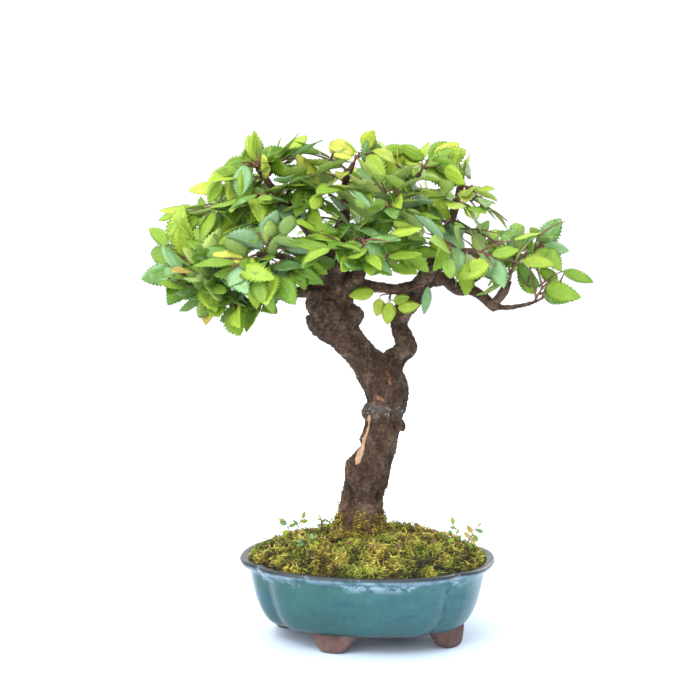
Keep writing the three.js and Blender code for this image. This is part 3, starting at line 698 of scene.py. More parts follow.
# Short stumps of cut branches and burrs, as limbs of their own.
STUMPS = [
    [[-16, 0, 211, 7], [-10, -2, 216, 7.2], [-6, -3, 221, 4.6]],
    [[-30, -2, 221, 8], [-35, -3, 223, 5], [-37.5, -3, 229, 2.6]],
    [[-31, -3, 209, 7], [-35.5, -4, 212, 4.2], [-37, -4, 216, 2.4]],
    [[-24, -6, 219, 8], [-25.5, -11, 221, 6.4], [-26, -13.5, 221.5, 4.4]],
    [[19, 0, 163, 8], [24.5, -2, 163.5, 5.4], [27, -2, 163.5, 3.8]],
    [[17, 0, 144, 6], [22.5, -2, 143, 3.4], [25, -2, 141.5, 1.8]],
    [[-28, 0, 236, 7], [-34, -5, 236, 5], [-38, -8, 238, 3]],
    [[-14, -2, 236, 7], [-6, -6, 243, 4.2], [-2, -8, 250, 2.4]],
    [[-10, -2, 195, 6], [-15, -3, 193.5, 3.4], [-18, -3, 192.5, 1.6]],
    [[4, 6, 150, 7], [2, 13, 152, 4.4], [1, 16, 153, 2.6]],
]

# Burrs as [place, reach, height], on the face that the tree shows.
BURRS = [
    [[-1.5, -8, 173], 6, 2.2], [[3, -8, 158], 3.6, 2.6], [[10.5, -8, 152], 4.2, 3.0],
    [[18.4, -6, 150.5], 3.4, 2.6], [[6.5, -9, 149], 2.6, 1.8], [[-12, -11, 110], 6, 1.8],
    [[12, -10, 116], 5, 1.6], [[-18, -10, 76], 7, 2.6], [[9, -12, 76], 6, 2.4],
    [[-3, -14, 80], 4, 1.6], [[-24, -12, 205], 4, 1.8], [[-16, -11, 214], 4, 2.0],
    [[-14, -10, 236], 5, 2.2], [[33, -5, 236], 4, 1.8], [[44, -4, 243], 4, 1.8],
    [[54, -5, 239], 3, 1.4], [[66, -7, 235], 3, 1.4], [[14, 12, 162], 5, 2.0],
    [[-24, 12, 226], 6, 2.4], [[-8, 12, 104], 6, 2.0],
]

# Places with the bark gone, as [across, height, half width] on the front of the trunk.
TORN_STRIP = [[2.0, 149.4, 0.56], [-0.3, 139.7, 0.68], [-2.3, 133, 0.93], [-4.6, 126.2, 2.04],
              [-6.4, 121.5, 2.12], [-7.3, 119.3, 1.02]]
FORK_SCAR = [[13.2, 179.5, 1.6], [15.0, 172.5, 1.4]]
LOW_SCAR = [[10.4, 161.6, 1.0], [6.8, 163.2, 1.5]]
TREE_TURN = math.radians(10)
BARK_VOXEL = 0.82
TRUNK_AROUND = 40
BOUGH_AROUND = 14
STEM_AROUND = 28
ROUGH_REACH = 6
LICHEN_HEIGHT = 153
LICHEN_HALF_HEIGHT = 5.5


def in_tree(points):
    """Places of the tree's own axes, in millimetres, as places of the frame in metres: a turn
    about the upright axis and a shift to the pot's middle."""
    cos, sin = math.cos(TREE_TURN), math.sin(TREE_TURN)
    points = np.asarray(points, float)
    turned = np.stack([cos * points[..., 0] - sin * points[..., 1],
                       sin * points[..., 0] + cos * points[..., 1], points[..., 2]], -1)
    return turned * MM + pot_middle


def limb_rings(stations, around, rows, uneven, seed):
    """A limb: circles of the path's radius set square to it, carried along without twisting, each
    point pushed out or in by a smooth random share of the radius."""
    path = smooth_path(stations, rows)
    line, radius = path[:, :3], path[:, 3]
    heading = np.gradient(line, axis=0)
    heading /= np.linalg.norm(heading, axis=1)[:, None]
    side = np.cross(heading, [0.13, 0.97, 0.21])
    side /= np.linalg.norm(side, axis=1)[:, None]
    other = np.cross(heading, side)
    turn = turns(around)
    circle = side[:, None] * np.cos(turn)[:, None] + other[:, None] * np.sin(turn)[:, None]
    rings = line[:, None] + radius[:, None, None] * circle
    swell = 1 + uneven * grain(rings.reshape(-1, 3), 9.0, seed).reshape(rows, around)
    return line[:, None] + (radius[:, None] * swell)[..., None] * circle


limbs = [limb_rings(TRUNK, TRUNK_AROUND, rows=110, uneven=0.1, seed=11.0),
         limb_rings(RIGHT_STEM, STEM_AROUND, rows=60, uneven=0.14, seed=12.0)]
limbs += [limb_rings(chain, BOUGH_AROUND, rows=12 * len(chain), uneven=0.2, seed=20.0 + i)
          for i, chain in enumerate([*BOUGHS.values(), *STUMPS])]
wood_points, wood_quads, wood_triangles, wood_start = [], [], [], 0
for rings in limbs:
    quads, triangles = tube_faces(rings.shape[0], rings.shape[1], wood_start)
    wood_points.append(with_poles(rings))
    wood_quads.append(quads)
    wood_triangles.append(triangles)
    wood_start += len(wood_points[-1])
wood = make_piece("trunk_and_boughs", np.vstack(wood_points) * MM, wood_quads + wood_triangles,
                  ["trunk"])


def remeshed(piece, voxel):
    """Grows all the closed bodies of a piece into one skin of even small squares."""
    modifier = piece.modifiers.new("skin", "REMESH")
    modifier.mode = "VOXEL"
    modifier.voxel_size = voxel * MM
    modifier.use_smooth_shade = True
    return settled(piece)


def read_points(vertices, what):
    """The places or the normals of points, as an array."""
    values = np.empty(len(vertices) * 3)
    vertices.foreach_get(what, values)
    return values.reshape(-1, 3)


def on_face(points, line):
    """1 inside a bent band on the front of the trunk, 0 outside, by the distance in the front
    view from each of its stretches, less the half width there."""
    best = np.full(len(points), 1e9)
    for a, b in zip(np.array(line[:-1], float), np.array(line[1:], float)):
        run = b[:2] - a[:2]
        t = np.clip((points[:, [0, 2]] - a[:2]) @ run / (run @ run), 0, 1)
        away = np.linalg.norm(points[:, [0, 2]] - a[:2] - t[:, None] * run, axis=1)
        best = np.minimum(best, away - (a[2] + t * (b[2] - a[2])))
    return np.clip(0.5 - best / 1.2, 0, 1) * (points[:, 1] < 2)


def bark_relief(points):
    """Height of the bark: plates with steep cracks between them from folded relief drawn out along
    the stem, flakes and crumbs on them, and slow swellings under them."""
    tall = points * [1, 1, 0.5]
    plates = 1 - 2 * np.abs(grain(tall, 3.6, 31.0))
    flakes = 1 - 2 * np.abs(grain(tall, 1.7, 37.0))
    crumbs = grain(points, 1.1, 41.0)
    swellings = grain(points, 8.0, 43.0)
    return 0.65 * plates + 0.5 * flakes + 0.42 * crumbs + swellings


skin = remeshed(wood, BARK_VOXEL)
places = read_points(skin.vertices, "co") / MM
normals = read_points(skin.vertex_normals, "vector")

# The bark is rough near the stems and smoother out along the boughs.
stems = np.array(TRUNK + RIGHT_STEM, float)
away = np.min([np.linalg.norm(places - station[:3], axis=1) / (station[3] + ROUGH_REACH)
               for station in stems], axis=0)
rough = np.clip((1.4 - away) * 2, 0.42, 1.0)
height = bark_relief(places) * rough
for middle, reach, tall in BURRS:
    height += tall * np.exp(-np.sum((places - middle) ** 2, axis=1) / reach**2)
torn = on_face(places, TORN_STRIP)
scar = np.maximum(on_face(places, FORK_SCAR), on_face(places, LOW_SCAR))
height = height * (1 - 0.85 * torn) - 0.7 * torn - 0.8 * scar
band = LICHEN_HEIGHT + 4 * grain(places, 9.0, 47.0)
lichen = np.clip(1.3 - np.abs(places[:, 2] - band) / LICHEN_HALF_HEIGHT, 0, 1)
carved = places + normals * height[:, None]
skin.vertices.foreach_set("co", in_tree(carved).ravel())
skin.update()
# The relief also sets the bark's colour: painted shade in the cracks and painted highlight on the
# plates.
set_numbers(wood, "relief", np.clip(0.5 + bark_relief(places) * 0.28, 0, 1))
set_numbers(wood, "torn", torn)
set_numbers(wood, "scar", scar)
set_numbers(wood, "lichen", lichen)


def bark_material():
    """Elm bark: dark grey-brown plates, near black in the cracks as painted shade and paler on the
    highest plates as painted highlight, grey lichen in a band, a golden moss stain near the soil,
    a torn strip of tan wood and rusty scars."""
    f = Finish("bark")
    _, _, z = f.split()
    relief = f.ragged(f.number("relief"), -0.30, 0.30, 520, 6, 0.7)
    # Painted shade and highlight: the colour follows the bark's relief, near black in the cracks
    # and palest on the highest plates.
    bark = f.ramp(relief, (0.12, (0.010, 0.006, 0.004)), (0.42, (0.036, 0.022, 0.015)),
                  (0.68, (0.066, 0.043, 0.030)), (0.95, (0.140, 0.096, 0.067)))
    lines = f.noise(150, 4, 0.6, f.stretched((1, 1, 5)))
    bark = f.mix(1.0, bark, f.ramp(lines, (0.35, (0.78, 0.76, 0.74)), (0.65, (1.2, 1.18, 1.14))),
                 "MULTIPLY")
    bark = f.coat(bark, f.clouds(0.45, 0.65, 70, 4), 0.38, (0.080, 0.034, 0.022))
    bark = f.coat(bark, f.clouds(0.56, 0.68, 95, 5, 0.7), 0.30, (0.100, 0.092, 0.052))
    crust = f.times(f.number("lichen"), f.clouds(0.47, 0.56, 170, 5, 0.7))
    bark = f.coat(bark, crust, 0.7, (0.082, 0.082, 0.082))
    fleck = f.times(f.number("lichen"), f.clouds(0.585, 0.63, 330, 4, 0.7))
    bark = f.coat(bark, fleck, 0.75, (0.36, 0.37, 0.32))
    low = f.times(f.between(z, 0.094, 0.070), f.clouds(0.44, 0.60, 170, 5))
    bark = f.coat(bark, low, 0.6, (0.20, 0.125, 0.022))
    tan = f.ramp(f.noise(120, 4, place=f.stretched((5, 5, 0.6))), (0.3, (0.36, 0.20, 0.115)),
                 (0.7, (0.60, 0.39, 0.25)))
    torn = f.between(f.ragged(f.number("torn"), -0.32, 0.32, 300, 4), 0.45, 0.6)
    scar = f.between(f.ragged(f.number("scar"), -0.32, 0.32, 300, 4), 0.55, 1.0)
    rust = f.ramp(f.noise(420, 3), (0.35, (0.090, 0.030, 0.018)), (0.62, (0.36, 0.170, 0.100)))
    return f.finish(
        Base_Color=f.coat(f.mix(torn, bark, tan), scar, 0.85, rust),
        Roughness=0.9,
        Specular_IOR_Level=0.2,
        Normal=f.bump(f.noise(800, 6, 0.75), 0.85, 0.0012, f.bump(lines, 0.5, 0.0012)),
    )


skin.materials.clear()
skin.materials.append(bark_material())

# ------------------------------------------------------------------------- the moss on the trunk
# Golden moss that has climbed from the soil on to the foot of the trunk: curly strands rooted in
# the bark.

CLIMB_COUNT = 4200
CLIMB_BOTTOM = 66.0
CLIMB_TOP = 90.0
CLIMB_MATERIAL = moss_material("moss_on_bark", (0.020, 0.012, 0.005), (0.62, 0.47, 0.10), 0.1)

share = (carved[:, 2] - CLIMB_BOTTOM) / (CLIMB_TOP - CLIMB_BOTTOM)
liking = np.clip(1.05 - share, 0, 1) * (share > 0) * (grain(carved, 5.0, 9.0) + 0.75 > share * 1.3)
liking *= np.where(carved[:, 0] < stems[0, 0], 1.0, 0.6)
chosen = luck.choice(len(carved), CLIMB_COUNT, p=liking / liking.sum())
climbers = carved[chosen] + normals[chosen] * 0.2
length, thick, shade = (luck.uniform(low, high, CLIMB_COUNT)
                        for low, high in ((2.5, 6), (0.25, 0.42), (0.25, 0.7)))
rings, tone = curls(climbers, length, thick, shade, luck)
strand_piece("climbing_moss", in_tree(rings.reshape(-1, 3)), tone, CLIMB_MATERIAL)

# ------------------------------------------------------------------------------ the leafy shoots
# Thin reddish twigs that grow from the boughs, with small toothed leaves set left and right of
# them by turns, side twigs near the base, and a last leaf at the tip.

# The shoots of each bough: the share of the way along it where each starts, and its tip.
SHOOTS = {
    "west": [[1, -136, -28, 247], [0.92, -131, -18, 266], [0.76, -118, -42, 238],
             [0.6, -103, -42, 258]],
    "westLow": [[1, -120, -38, 223], [0.8, -92, -44, 215], [0.55, -68, -44, 222]],
    "westBack": [[1, -122, 50, 256], [0.8, -102, 66, 246], [0.6, -84, 56, 280]],
    "westTop": [[1, -82, -8, 322], [0.85, -104, -12, 303], [0.6, -120, -4, 284],
                [0.65, -80, -38, 292], [0.8, -62, 28, 312], [0.9, -52, -22, 320]],
    "crown": [[1, -2, 6, 325], [0.85, -32, -10, 323], [0.7, -26, 40, 308], [0.6, -32, -42, 298]],
    "crownRight": [[1, 44, -14, 322], [0.85, 18, -28, 317], [0.7, 34, 24, 308],
                   [0.5, 14, -48, 290]],
    "eastTop": [[1, 64, 2, 319], [0.82, 82, -6, 298], [0.7, 50, -34, 296], [0.45, 84, -24, 272]],
    "eastBack": [[1, 116, 46, 250], [0.7, 86, 60, 270]],
    "front": [[1, 0, -76, 262], [0.85, -32, -74, 262], [0.6, 16, -58, 252]],
    "frontRight": [[1, 84, -54, 254], [0.7, 46, -62, 270]],
    "back": [[1, 4, 86, 262], [0.8, -32, 80, 266], [0.6, 26, 66, 282]],
    "frontLeft": [[1, -88, -66, 250], [0.85, -60, -70, 274], [0.6, -46, -62, 240]],
    "eastTwig": [[1, 132, -10, 234]],
    "eastStub": [[1, 98, -10, 262]],
    "eastRise": [[1, 124, 8, 270]],
}

# Twigs between the shoots: the number of the shoot that each belongs to, its bough, the share
# along it and the tip.
BETWEEN = [
    [13, "westTop", 0.45, [-46, -36, 283]], [13, "westTop", 0.5, [-52, -34, 304]],
    [20, "crown", 0.45, [-40, -26, 304]], [20, "crown", 0.3, [-22, -44, 276]],
    [23, "crownRight", 0.6, [8, -40, 306]], [23, "crownRight", 0.45, [26, -44, 284]],
    [27, "eastTop", 0.55, [46, -30, 272]], [28, "eastTop", 0.35, [58, -30, 258]],
    [27, "eastTop", 0.75, [82, -16, 284]], [12, "westTop", 0.5, [-128, 10, 288]],
    [3, "west", 0.5, [-78, -52, 256]], [4, "west", 0.7, [-104, -50, 244]],
    [15, "westTop", 0.55, [-88, -30, 272]], [42, "eastTwig", 0.9, [118, -12, 240]],
    [43, "eastStub", 0.9, [92, -16, 248]], [44, "eastRise", 0.7, [104, -8, 262]],
    [11, "westTop", 0.95, [-68, -12, 334]], [40, "frontLeft", 0.9, [-66, -62, 246]],
]

# The outline of the crown as the tree's front shows it, as [across, height]; it narrows with the
# depth in front of the trunk or behind it.
CROWN_OUTLINE = np.array([
    [-150, 235], [-143, 266], [-139, 284], [-123, 297], [-93, 321], [-76, 337], [-39, 334],
    [2, 337], [59, 331], [90, 293], [97, 281], [130, 280], [134, 260], [151, 240], [139, 224],
    [118, 211], [84, 218], [66, 227], [48, 233], [20, 240], [-2, 245], [-30, 246], [-45, 236],
    [-55, 221], [-69, 212], [-88, 205], [-118, 215], [-131, 226],
], float)

# Leaves turn towards the light, and away from the middle of the canopy's underside.
CROWN_MIDDLE = np.array([-5.0, 268.0])
CROWN_DEPTH = 190.0
CROWN_HALF_DEPTH = 97.0
CANOPY_CENTRE = np.array([-12.0, 0.0, 236.0])
LIGHT = np.array([0.05, -0.76, 0.66])

# A leaf is built from rings of points across it; its width is a share of its length.
LEAF_LENGTH = 26.0
LEAF_WIDTH = 0.56
LEAF_THICK = 0.3
LEAF_ROWS = 21
LEAF_AROUND = 8
LEAF_HUMP_PEAK = 0.3166
TOOTH = 0.12

# A shoot has a main twig and side twigs. The first leaf stands at a share of each, and a twig
# ends short enough for its last leaf to fit in the crown.
MAIN_LEAVES = 6
SIDE_TWIGS = 3
SIDE_LEAVES = 3
MAIN_FIRST_LEAF = 0.24
SIDE_FIRST_LEAF = 0.4
STALK = 2.2
TWIG_REACH = 0.92
LAST_LEAF = 17.0
SIDE_TWIG_SPAN = (0.15, 0.65)
SIDE_TWIG_LENGTHS = (14, 25)
TWIG_ROWS, TWIG_AROUND = 7, 5
SHOOT_LUCK = 101

# Some leaves are left off everywhere, and more and more of them towards the right, where the
# leaves are smaller too.
ALL_THIN = 0.2
EAST_THIN = 0.40
EAST_THIN_START, EAST_THIN_SPAN = 10, 70
EAST_SIDE = 60.0
EAST_SHRINK = 0.85


def unit(vectors):
    """Vectors scaled to length one."""
    return vectors / np.maximum(np.linalg.norm(vectors, axis=-1, keepdims=True), 1e-9)


def blades(base, heading, normal, length, draw, width=None):
    """Leaves as closed lenses: rings of eight points across, from a base point to a tip point.
    The half width rises steeply from the base and runs nearly straight to the tip, with teeth that
    point forwards, the two halves fold up from the midrib, and the blade curls along its length."""
    count = len(base)
    v = np.linspace(0, 1, LEAF_ROWS + 2)
    u = np.array([-1, -0.5, 0, 0.5, 1, 0.5, 0, -0.5])
    skin_side = np.array([0, 1, 1, 1, 0, -1, -1, -1])
    hump = v**0.72 * (1 - v) ** 0.95 / LEAF_HUMP_PEAK
    teeth = 1 + np.where(np.arange(len(v)) % 2 == 0, TOOTH, -TOOTH)
    if width is None:
        width = LEAF_WIDTH * draw.uniform(0.86, 1.12, count)
    half = 0.5 * (length * width)[:, None, None] * (hump * teeth)[None, :, None]
    half = half * (1 + 0.10 * draw.uniform(-1, 1, count)[:, None, None] * u)
    fold, curl, bend, ripple = (draw.uniform(low, high, count)[:, None, None] for low, high in
                                ((-0.05, 0.38), (-0.10, 0.28), (-0.10, 0.10), (0, 6.28)))
    reach = length[:, None, None]
    t = v[None, :, None]
    across = half * u * np.cos(fold) + reach * bend * t**2
    lift = half * np.abs(u) * np.sin(fold)
    lift = lift + reach * (-curl * t**2 + 0.014 * np.sin(12 * t + ripple) * u**2)
    lift = lift + LEAF_THICK * 0.5 * skin_side * np.sin(np.pi * t)
    along = reach * (t + 0.012 * (teeth[None, :, None] > 1) * u**2) * np.ones(len(u))
    side = np.cross(normal, heading)
    points = (base[:, None, None] + along[..., None] * heading[:, None, None]
              + across[..., None] * side[:, None, None] + lift[..., None] * normal[:, None, None])
    rings = points[:, 1:-1]
    poles = np.stack([points[:, 0, 2], points[:, -1, 2]], 1)
    place = np.stack(np.broadcast_arrays(u[None, :], v[:, None]), -1)
    place = np.broadcast_to(place, points.shape[:3] + (2,))
    rings_uv = place[:, 1:-1].reshape(count, -1, 2)
    poles_uv = np.broadcast_to(np.array([[0.0, 0.0], [0.0, 1.0]]), (count, 2, 2))
    return (np.concatenate([rings.reshape(count, -1, 3), poles], 1),
            np.concatenate([rings_uv, poles_uv], 1))


def blade_faces(count, start=0):
    """Faces of many leaves as blades makes them, counted from a first point."""
    first = start + np.arange(count)[:, None, None] * (LEAF_ROWS * LEAF_AROUND + 2)
    quads, triangles = (faces + first for faces in tube_faces(LEAF_ROWS, LEAF_AROUND))
    return quads.reshape(-1, 4), triangles.reshape(-1, 3)


def twig_rings(starts, ends, thick_start, thick_end, sag):
    """Twigs: five-sided threads of falling thickness on a low arc between their two ends."""
    t = np.linspace(0, 1, TWIG_ROWS)[None, :, None]
    run = ends - starts
    line = starts[:, None] + run[:, None] * t + np.array([0, 0, 1.0]) * (4 * t * (1 - t)) * sag
    heading = unit(np.gradient(line, axis=1))
    side = unit(np.cross(heading, [0.31, 0.2, 0.93]))
    other = np.cross(heading, side)
    turn = np.arange(TWIG_AROUND) * 2 * np.pi / TWIG_AROUND
    circle = side[:, :, None] * np.cos(turn)[:, None] + other[:, :, None] * np.sin(turn)[:, None]
    radius = (thick_start + (thick_end - thick_start) * t)[..., None]
    return line[:, :, None] + radius * circle


def along_bough(name, share):
    """The place on a bough at a share of its stations."""
    chain = np.array(BOUGHS[name], float)[:, :3]
    step = share * (len(chain) - 1)
    at = min(int(step), len(chain) - 2)
    return chain[at] + (chain[at + 1] - chain[at]) * (step - at)


def in_crown(points):
    """Whether points lie within the crown's depth and outline, by the even-odd rule: a level line
    from the point crosses the outline an odd number of times."""
    depth = 1 - (points[..., 1] / CROWN_DEPTH) ** 2
    flat = CROWN_MIDDLE + (points[..., [0, 2]] - CROWN_MIDDLE) / depth[..., None]
    x, z = flat[..., 0, None], flat[..., 1, None]
    first, last = CROWN_OUTLINE, np.roll(CROWN_OUTLINE, -1, axis=0)
    spans = (first[:, 1] > z) != (last[:, 1] > z)
    rise = last[:, 1] - first[:, 1]
    rise = np.where(rise == 0, 1.0, rise)
    crossing = first[:, 0] + (z - first[:, 1]) / rise * (last[:, 0] - first[:, 0])
    forward = points[..., 0] * math.sin(TREE_TURN) + points[..., 1] * math.cos(TREE_TURN)
    shallow = np.abs(forward) < CROWN_HALF_DEPTH
    return shallow & ((spans & (x < crossing)).sum(-1) % 2 == 1)


def within_reach(start, tip):
    """The far end of the longest twig that sets out from a place towards its tip, no further than
    a fixed share of the way, and whose last leaf still ends in the crown."""
    shares = np.linspace(0.12, TWIG_REACH, 16)[:, None]
    tips = start + (tip - start) * shares
    fits = in_crown(tips + unit(tip - start) * LAST_LEAF)
    return tips[max(np.flatnonzero(fits), default=0)]


def leaves_on(start, end, facing, count, first_share, draw):
    """Places, headings, normals and lengths of the leaves on one twig. They stand left and right
    by turns in the plane that faces the given way, each a little off it, hang slightly, and the
    last goes straight on. The longest are past the middle."""
    run = end - start
    ahead = unit(run)
    share = first_share + (1 - first_share) * np.arange(count) / max(count - 1, 1)
    place = start + share[:, None] * run + [0, 0, 1.5] * (4 * share * (1 - share))[:, None]
    normal = unit(facing + draw.uniform(-0.5, 0.5, (count, 3)))
    side = unit(np.cross(normal, ahead))
    hand = np.where(np.arange(count) % 2 == 0, 1, -1) * draw.choice([-1, 1])
    spread = hand * draw.uniform(0.7, 1.2, count)
    spread[-1] = draw.uniform(-0.2, 0.2)
    heading = ahead * np.cos(spread)[:, None] + side * np.sin(spread)[:, None]
    heading = heading + [0, 0, -0.20]
    heading = unit(heading - normal * np.sum(heading * normal, 1)[:, None])
    fullness = 0.62 + 0.42 * np.sin(np.pi * (0.1 + 0.72 * share))
    length = LEAF_LENGTH * draw.uniform(0.74, 1.14, count) * fullness
    return place, heading, normal, length


def leaf_material(name, colors, sheen):
    """A living leaf: its green set by the leaf's age, which on the upper leaves also carries
    painted light, from blue-green and deep green through lime to yellow and rust, paler ribs in a
    herringbone along the midrib, and light let through."""
    f = Finish(name)
    u, v, age = f.split(f.add("Attribute", attribute_name="blade").outputs["Vector"])
    across = f.math("ABSOLUTE", u)
    aged = f.ragged(age, -0.06, 0.06, 230, 4)
    color = f.ramp(aged, *zip((0.06, 0.17, 0.45, 0.75, 0.93, 1.0), colors))
    slant = f.math("SUBTRACT", v, f.times(across, 0.2))
    ribs = f.between(f.math("SINE", f.times(slant, 72)), 0.70, 1.0)
    lines = f.math("MAXIMUM", f.times(ribs, 0.5), f.between(across, 0.09, 0.0))
    color = f.coat(color, lines, 0.34, (0.56, 0.66, 0.24))
    web = f.ramp(f.noise(420, 4, 0.65), (0.3, (0.86, 0.88, 0.86)), (0.7, (1.10, 1.08, 1.06)))
    color = f.mix(1.0, color, web, "MULTIPLY")
    f.finish(Base_Color=color, Roughness=sheen, Specular_IOR_Level=0.4,
             Normal=f.bump(f.math("SUBTRACT", 1.0, lines), 0.6, 0.0006,
                           f.bump(f.noise(600, 3), 0.3, 0.0005)))
    through = f.add("BsdfTranslucent", {"Color": f.mix(0.35, color, (0.50, 0.66, 0.03))})
    both = f.add("MixShader", {0: 0.34, 1: f.shader.outputs[0], 2: through.outputs[0]})
    f.links.new(both.outputs[0], f.nodes["Material Output"].inputs["Surface"])
    return f.material


def twig_material():
    """Young elm twigs: red-brown rind, paler where it is newest."""
    f = Finish("twig_rind")
    return f.finish(
        Base_Color=f.ramp(f.noise(240, 4), (0.3, (0.075, 0.028, 0.016)),
                          (0.6, (0.15, 0.062, 0.032)), (0.8, (0.24, 0.13, 0.06))),
        Roughness=0.6,
        Normal=f.bump(f.noise(1400, 3), 0.4, 0.0002),
    )


LEAF_TOP = leaf_material("leaf_face", [
    (0.250, 0.460, 0.220), (0.125, 0.275, 0.030), (0.270, 0.440, 0.036), (0.450, 0.590, 0.060),
    (0.700, 0.690, 0.120), (0.560, 0.340, 0.130)], 0.36)
LEAF_UNDER = leaf_material("leaf_back", [
    (0.280, 0.450, 0.270), (0.250, 0.390, 0.120), (0.390, 0.530, 0.140), (0.560, 0.670, 0.190),
    (0.680, 0.680, 0.240), (0.580, 0.410, 0.220)], 0.6)
TWIG_MATERIAL = twig_material()


def leafy_piece(name, twigs, leaves, replaces, ages, draw, width=None):
    """Twigs, and on them the leaves with their stalks, as one mesh."""
    wood_rings = twig_rings(*twigs)
    place, heading, normal, length = leaves
    stalk_end = place + heading * STALK
    stalks = twig_rings(place, stalk_end, 0.32, 0.25, 0.0)
    threads = np.concatenate([wood_rings, stalks])
    thread_quads, thread_ends = thread_faces(len(threads), TWIG_ROWS, TWIG_AROUND)
    blade_points, blade_uv = blades(stalk_end - heading * 0.3, heading, normal, length, draw, width)
    blade_quads, blade_triangles = blade_faces(len(place), threads.size // 3)
    points = np.concatenate([threads.reshape(-1, 3), blade_points.reshape(-1, 3)])
    piece = make_piece(name, in_tree(points),
                       [thread_quads, blade_quads, thread_ends, blade_triangles],
                       replaces, [TWIG_MATERIAL, LEAF_TOP, LEAF_UNDER])
    quad_side, triangle_side = (1 + (np.arange(len(faces)) % LEAF_AROUND >= LEAF_AROUND // 2)
                                for faces in (blade_quads, blade_triangles))
    index = np.concatenate([np.zeros(len(thread_quads)), quad_side,
                            np.zeros(len(thread_ends)), triangle_side])
    piece.data.polygons.foreach_set("material_index", index.astype(np.int32))
    age = ages[:, None, None] * np.ones(blade_uv.shape[:2] + (1,))
    blade = np.concatenate([blade_uv, age], -1).reshape(-1, 3)
    set_numbers(piece, "blade", np.concatenate([np.zeros((threads.size // 3, 3)), blade]))


def leaf_ages_and_top_light(height, draw):
    """Ages from 0 to 1: most from deep green to lime, a few blue-green, a few yellow or rusty; the
    higher a leaf, the further its age is raised towards lime, as painted light on the crown's top."""
    count = len(height)
    # Painted light: the height term makes the upper leaves limier and paler, for the light falling
    # on the top of the crown.
    ages = draw.beta(1.7, 2.3, count) * 0.72 + 0.06 + 0.16 * np.clip((height - 270) / 60, 0, 1)
    odd = draw.uniform(0, 1, count)
    return np.where(odd < 0.06, 0.0, np.where(odd > 0.985, draw.uniform(0.86, 1.0, count), ages))


def shoot_leaves(bough, share, tip, draw):
    """The twigs and leaves of one shoot: a main twig from the bough towards the tip, and side
    twigs from its first part, left and right by turns. Leaves that would stand out of the crown
    are left off."""
    start = along_bough(bough, share)
    tip = within_reach(start, np.array(tip, float))
    run = tip - start
    ahead = unit(run)
    facing = unit((start + tip) / 2 - CANOPY_CENTRE) * 0.42 + LIGHT * 0.6
    facing = facing + draw.uniform(-0.4, 0.4, 3)
    facing = unit(facing - ahead * (facing @ ahead))
    flank = np.cross(facing, ahead)
    hand = np.where(np.arange(SIDE_TWIGS) % 2 == 0, 1, -1)[:, None]
    side_start = start + np.linspace(*SIDE_TWIG_SPAN, SIDE_TWIGS)[:, None] * run
    side_heading = unit(ahead * 0.7 + flank * hand * draw.uniform(0.6, 1.0, (SIDE_TWIGS, 1))
                        + facing * draw.uniform(-0.5, 0.5, (SIDE_TWIGS, 1)))
    side_end = side_start + side_heading * draw.uniform(*SIDE_TWIG_LENGTHS, (SIDE_TWIGS, 1))
    side_end = np.array([within_reach(*ends) for ends in zip(side_start, side_end)])
    sets = [leaves_on(start, tip, facing, MAIN_LEAVES, MAIN_FIRST_LEAF, draw)]
    sets += [leaves_on(*ends, facing, SIDE_LEAVES, SIDE_FIRST_LEAF, draw)
             for ends in zip(side_start, side_end)]
    leaves = [np.concatenate(parts) for parts in zip(*sets)]
    if tip[0] > EAST_SIDE:
        leaves[3] = leaves[3] * EAST_SHRINK
    kept = in_crown(leaves[0] + leaves[1] * leaves[3][:, None])
    eastward = np.clip((leaves[0][:, 0] - EAST_THIN_START) / EAST_THIN_SPAN, 0, 1)
    kept &= draw.uniform(0, 1, len(kept)) > ALL_THIN + EAST_THIN * eastward
    leaves = [part[kept] for part in leaves]
    return leaves, np.vstack([start, side_start]), np.vstack([tip, side_end])


luck = np.random.default_rng(SHOOT_LUCK)
shoots = [(bough, share, tip) for bough, rows in SHOOTS.items() for share, *tip in rows]
for number, shoot in enumerate(shoots, 1):
    parts = [shoot_leaves(*shoot, luck)]
    parts += [shoot_leaves(*row[1:], luck) for row in BETWEEN if row[0] == number]
    leaves = [np.concatenate(values) for values in zip(*[part[0] for part in parts])]
    starts, tips = (np.vstack([part[k] for part in parts]) for k in (1, 2))
    leafy_piece(f"leafy_shoot_{number:02d}", (starts, tips, 0.85, 0.4, 1.5), leaves,
                [f"shoot_{number:02d}"], leaf_ages_and_top_light(leaves[0][:, 2], luck), luck)

# Leaves that stand alone: [base, tip, width as a share of the length, age]. The young ones hang
# under the level bough from two short twigs: the share of the bough and the place they start at.
HANGING = {
    "shoot_45": [0.2, [15, -7, 231], [
        [[4, -11, 233], [-13, -14, 230.5], 0.52, 0.72],
        [[8, -10, 228], [6, -13, 216.5], 0.72, 0.80],
        [[14, -11, 226], [14.5, -14, 211], 0.64, 0.74],
        [[17, -10, 227], [28, -12, 228.5], 0.66, 0.52]]],
    "shoot_46": [0.28, [20, -6, 230], [
        [[20, -10, 222], [34, -13, 223], 0.60, 0.76],
        [[39.5, -8, 236], [36.5, -9, 217], 0.34, 0.0]]],
}
LONE_LEAVES = {
    "shoot_17": [[[3, 4, 313], [2.3, 0, 334.5], 0.62, 0.10],
                 [[12, 0, 308], [24, -6, 326], 0.5, 0.6]],
    "shoot_42": [[[127, -10, 246], [148, -12, 239.5], 0.36, 0.30],
                 [[108, -6, 252], [117, -8, 262], 0.6, 0.4]],
    "shoot_44": [[[112, 4, 268], [106, 2, 273.5], 0.75, 0.35]],
}
BARE_TWIGS = {
    "shoot_17": [[[-8, 2, 300], [3, 4, 313]], [[-8, 4, 296], [12, 0, 308]]],
    "shoot_42": [[[112, -9, 236], [127, -10, 246]], [[104, -9, 236], [108, -6, 252]]],
    "shoot_44": [[[110, 8, 257], [112, 4, 268]], [[112, 4, 268], [129.5, 2, 278]]],
}


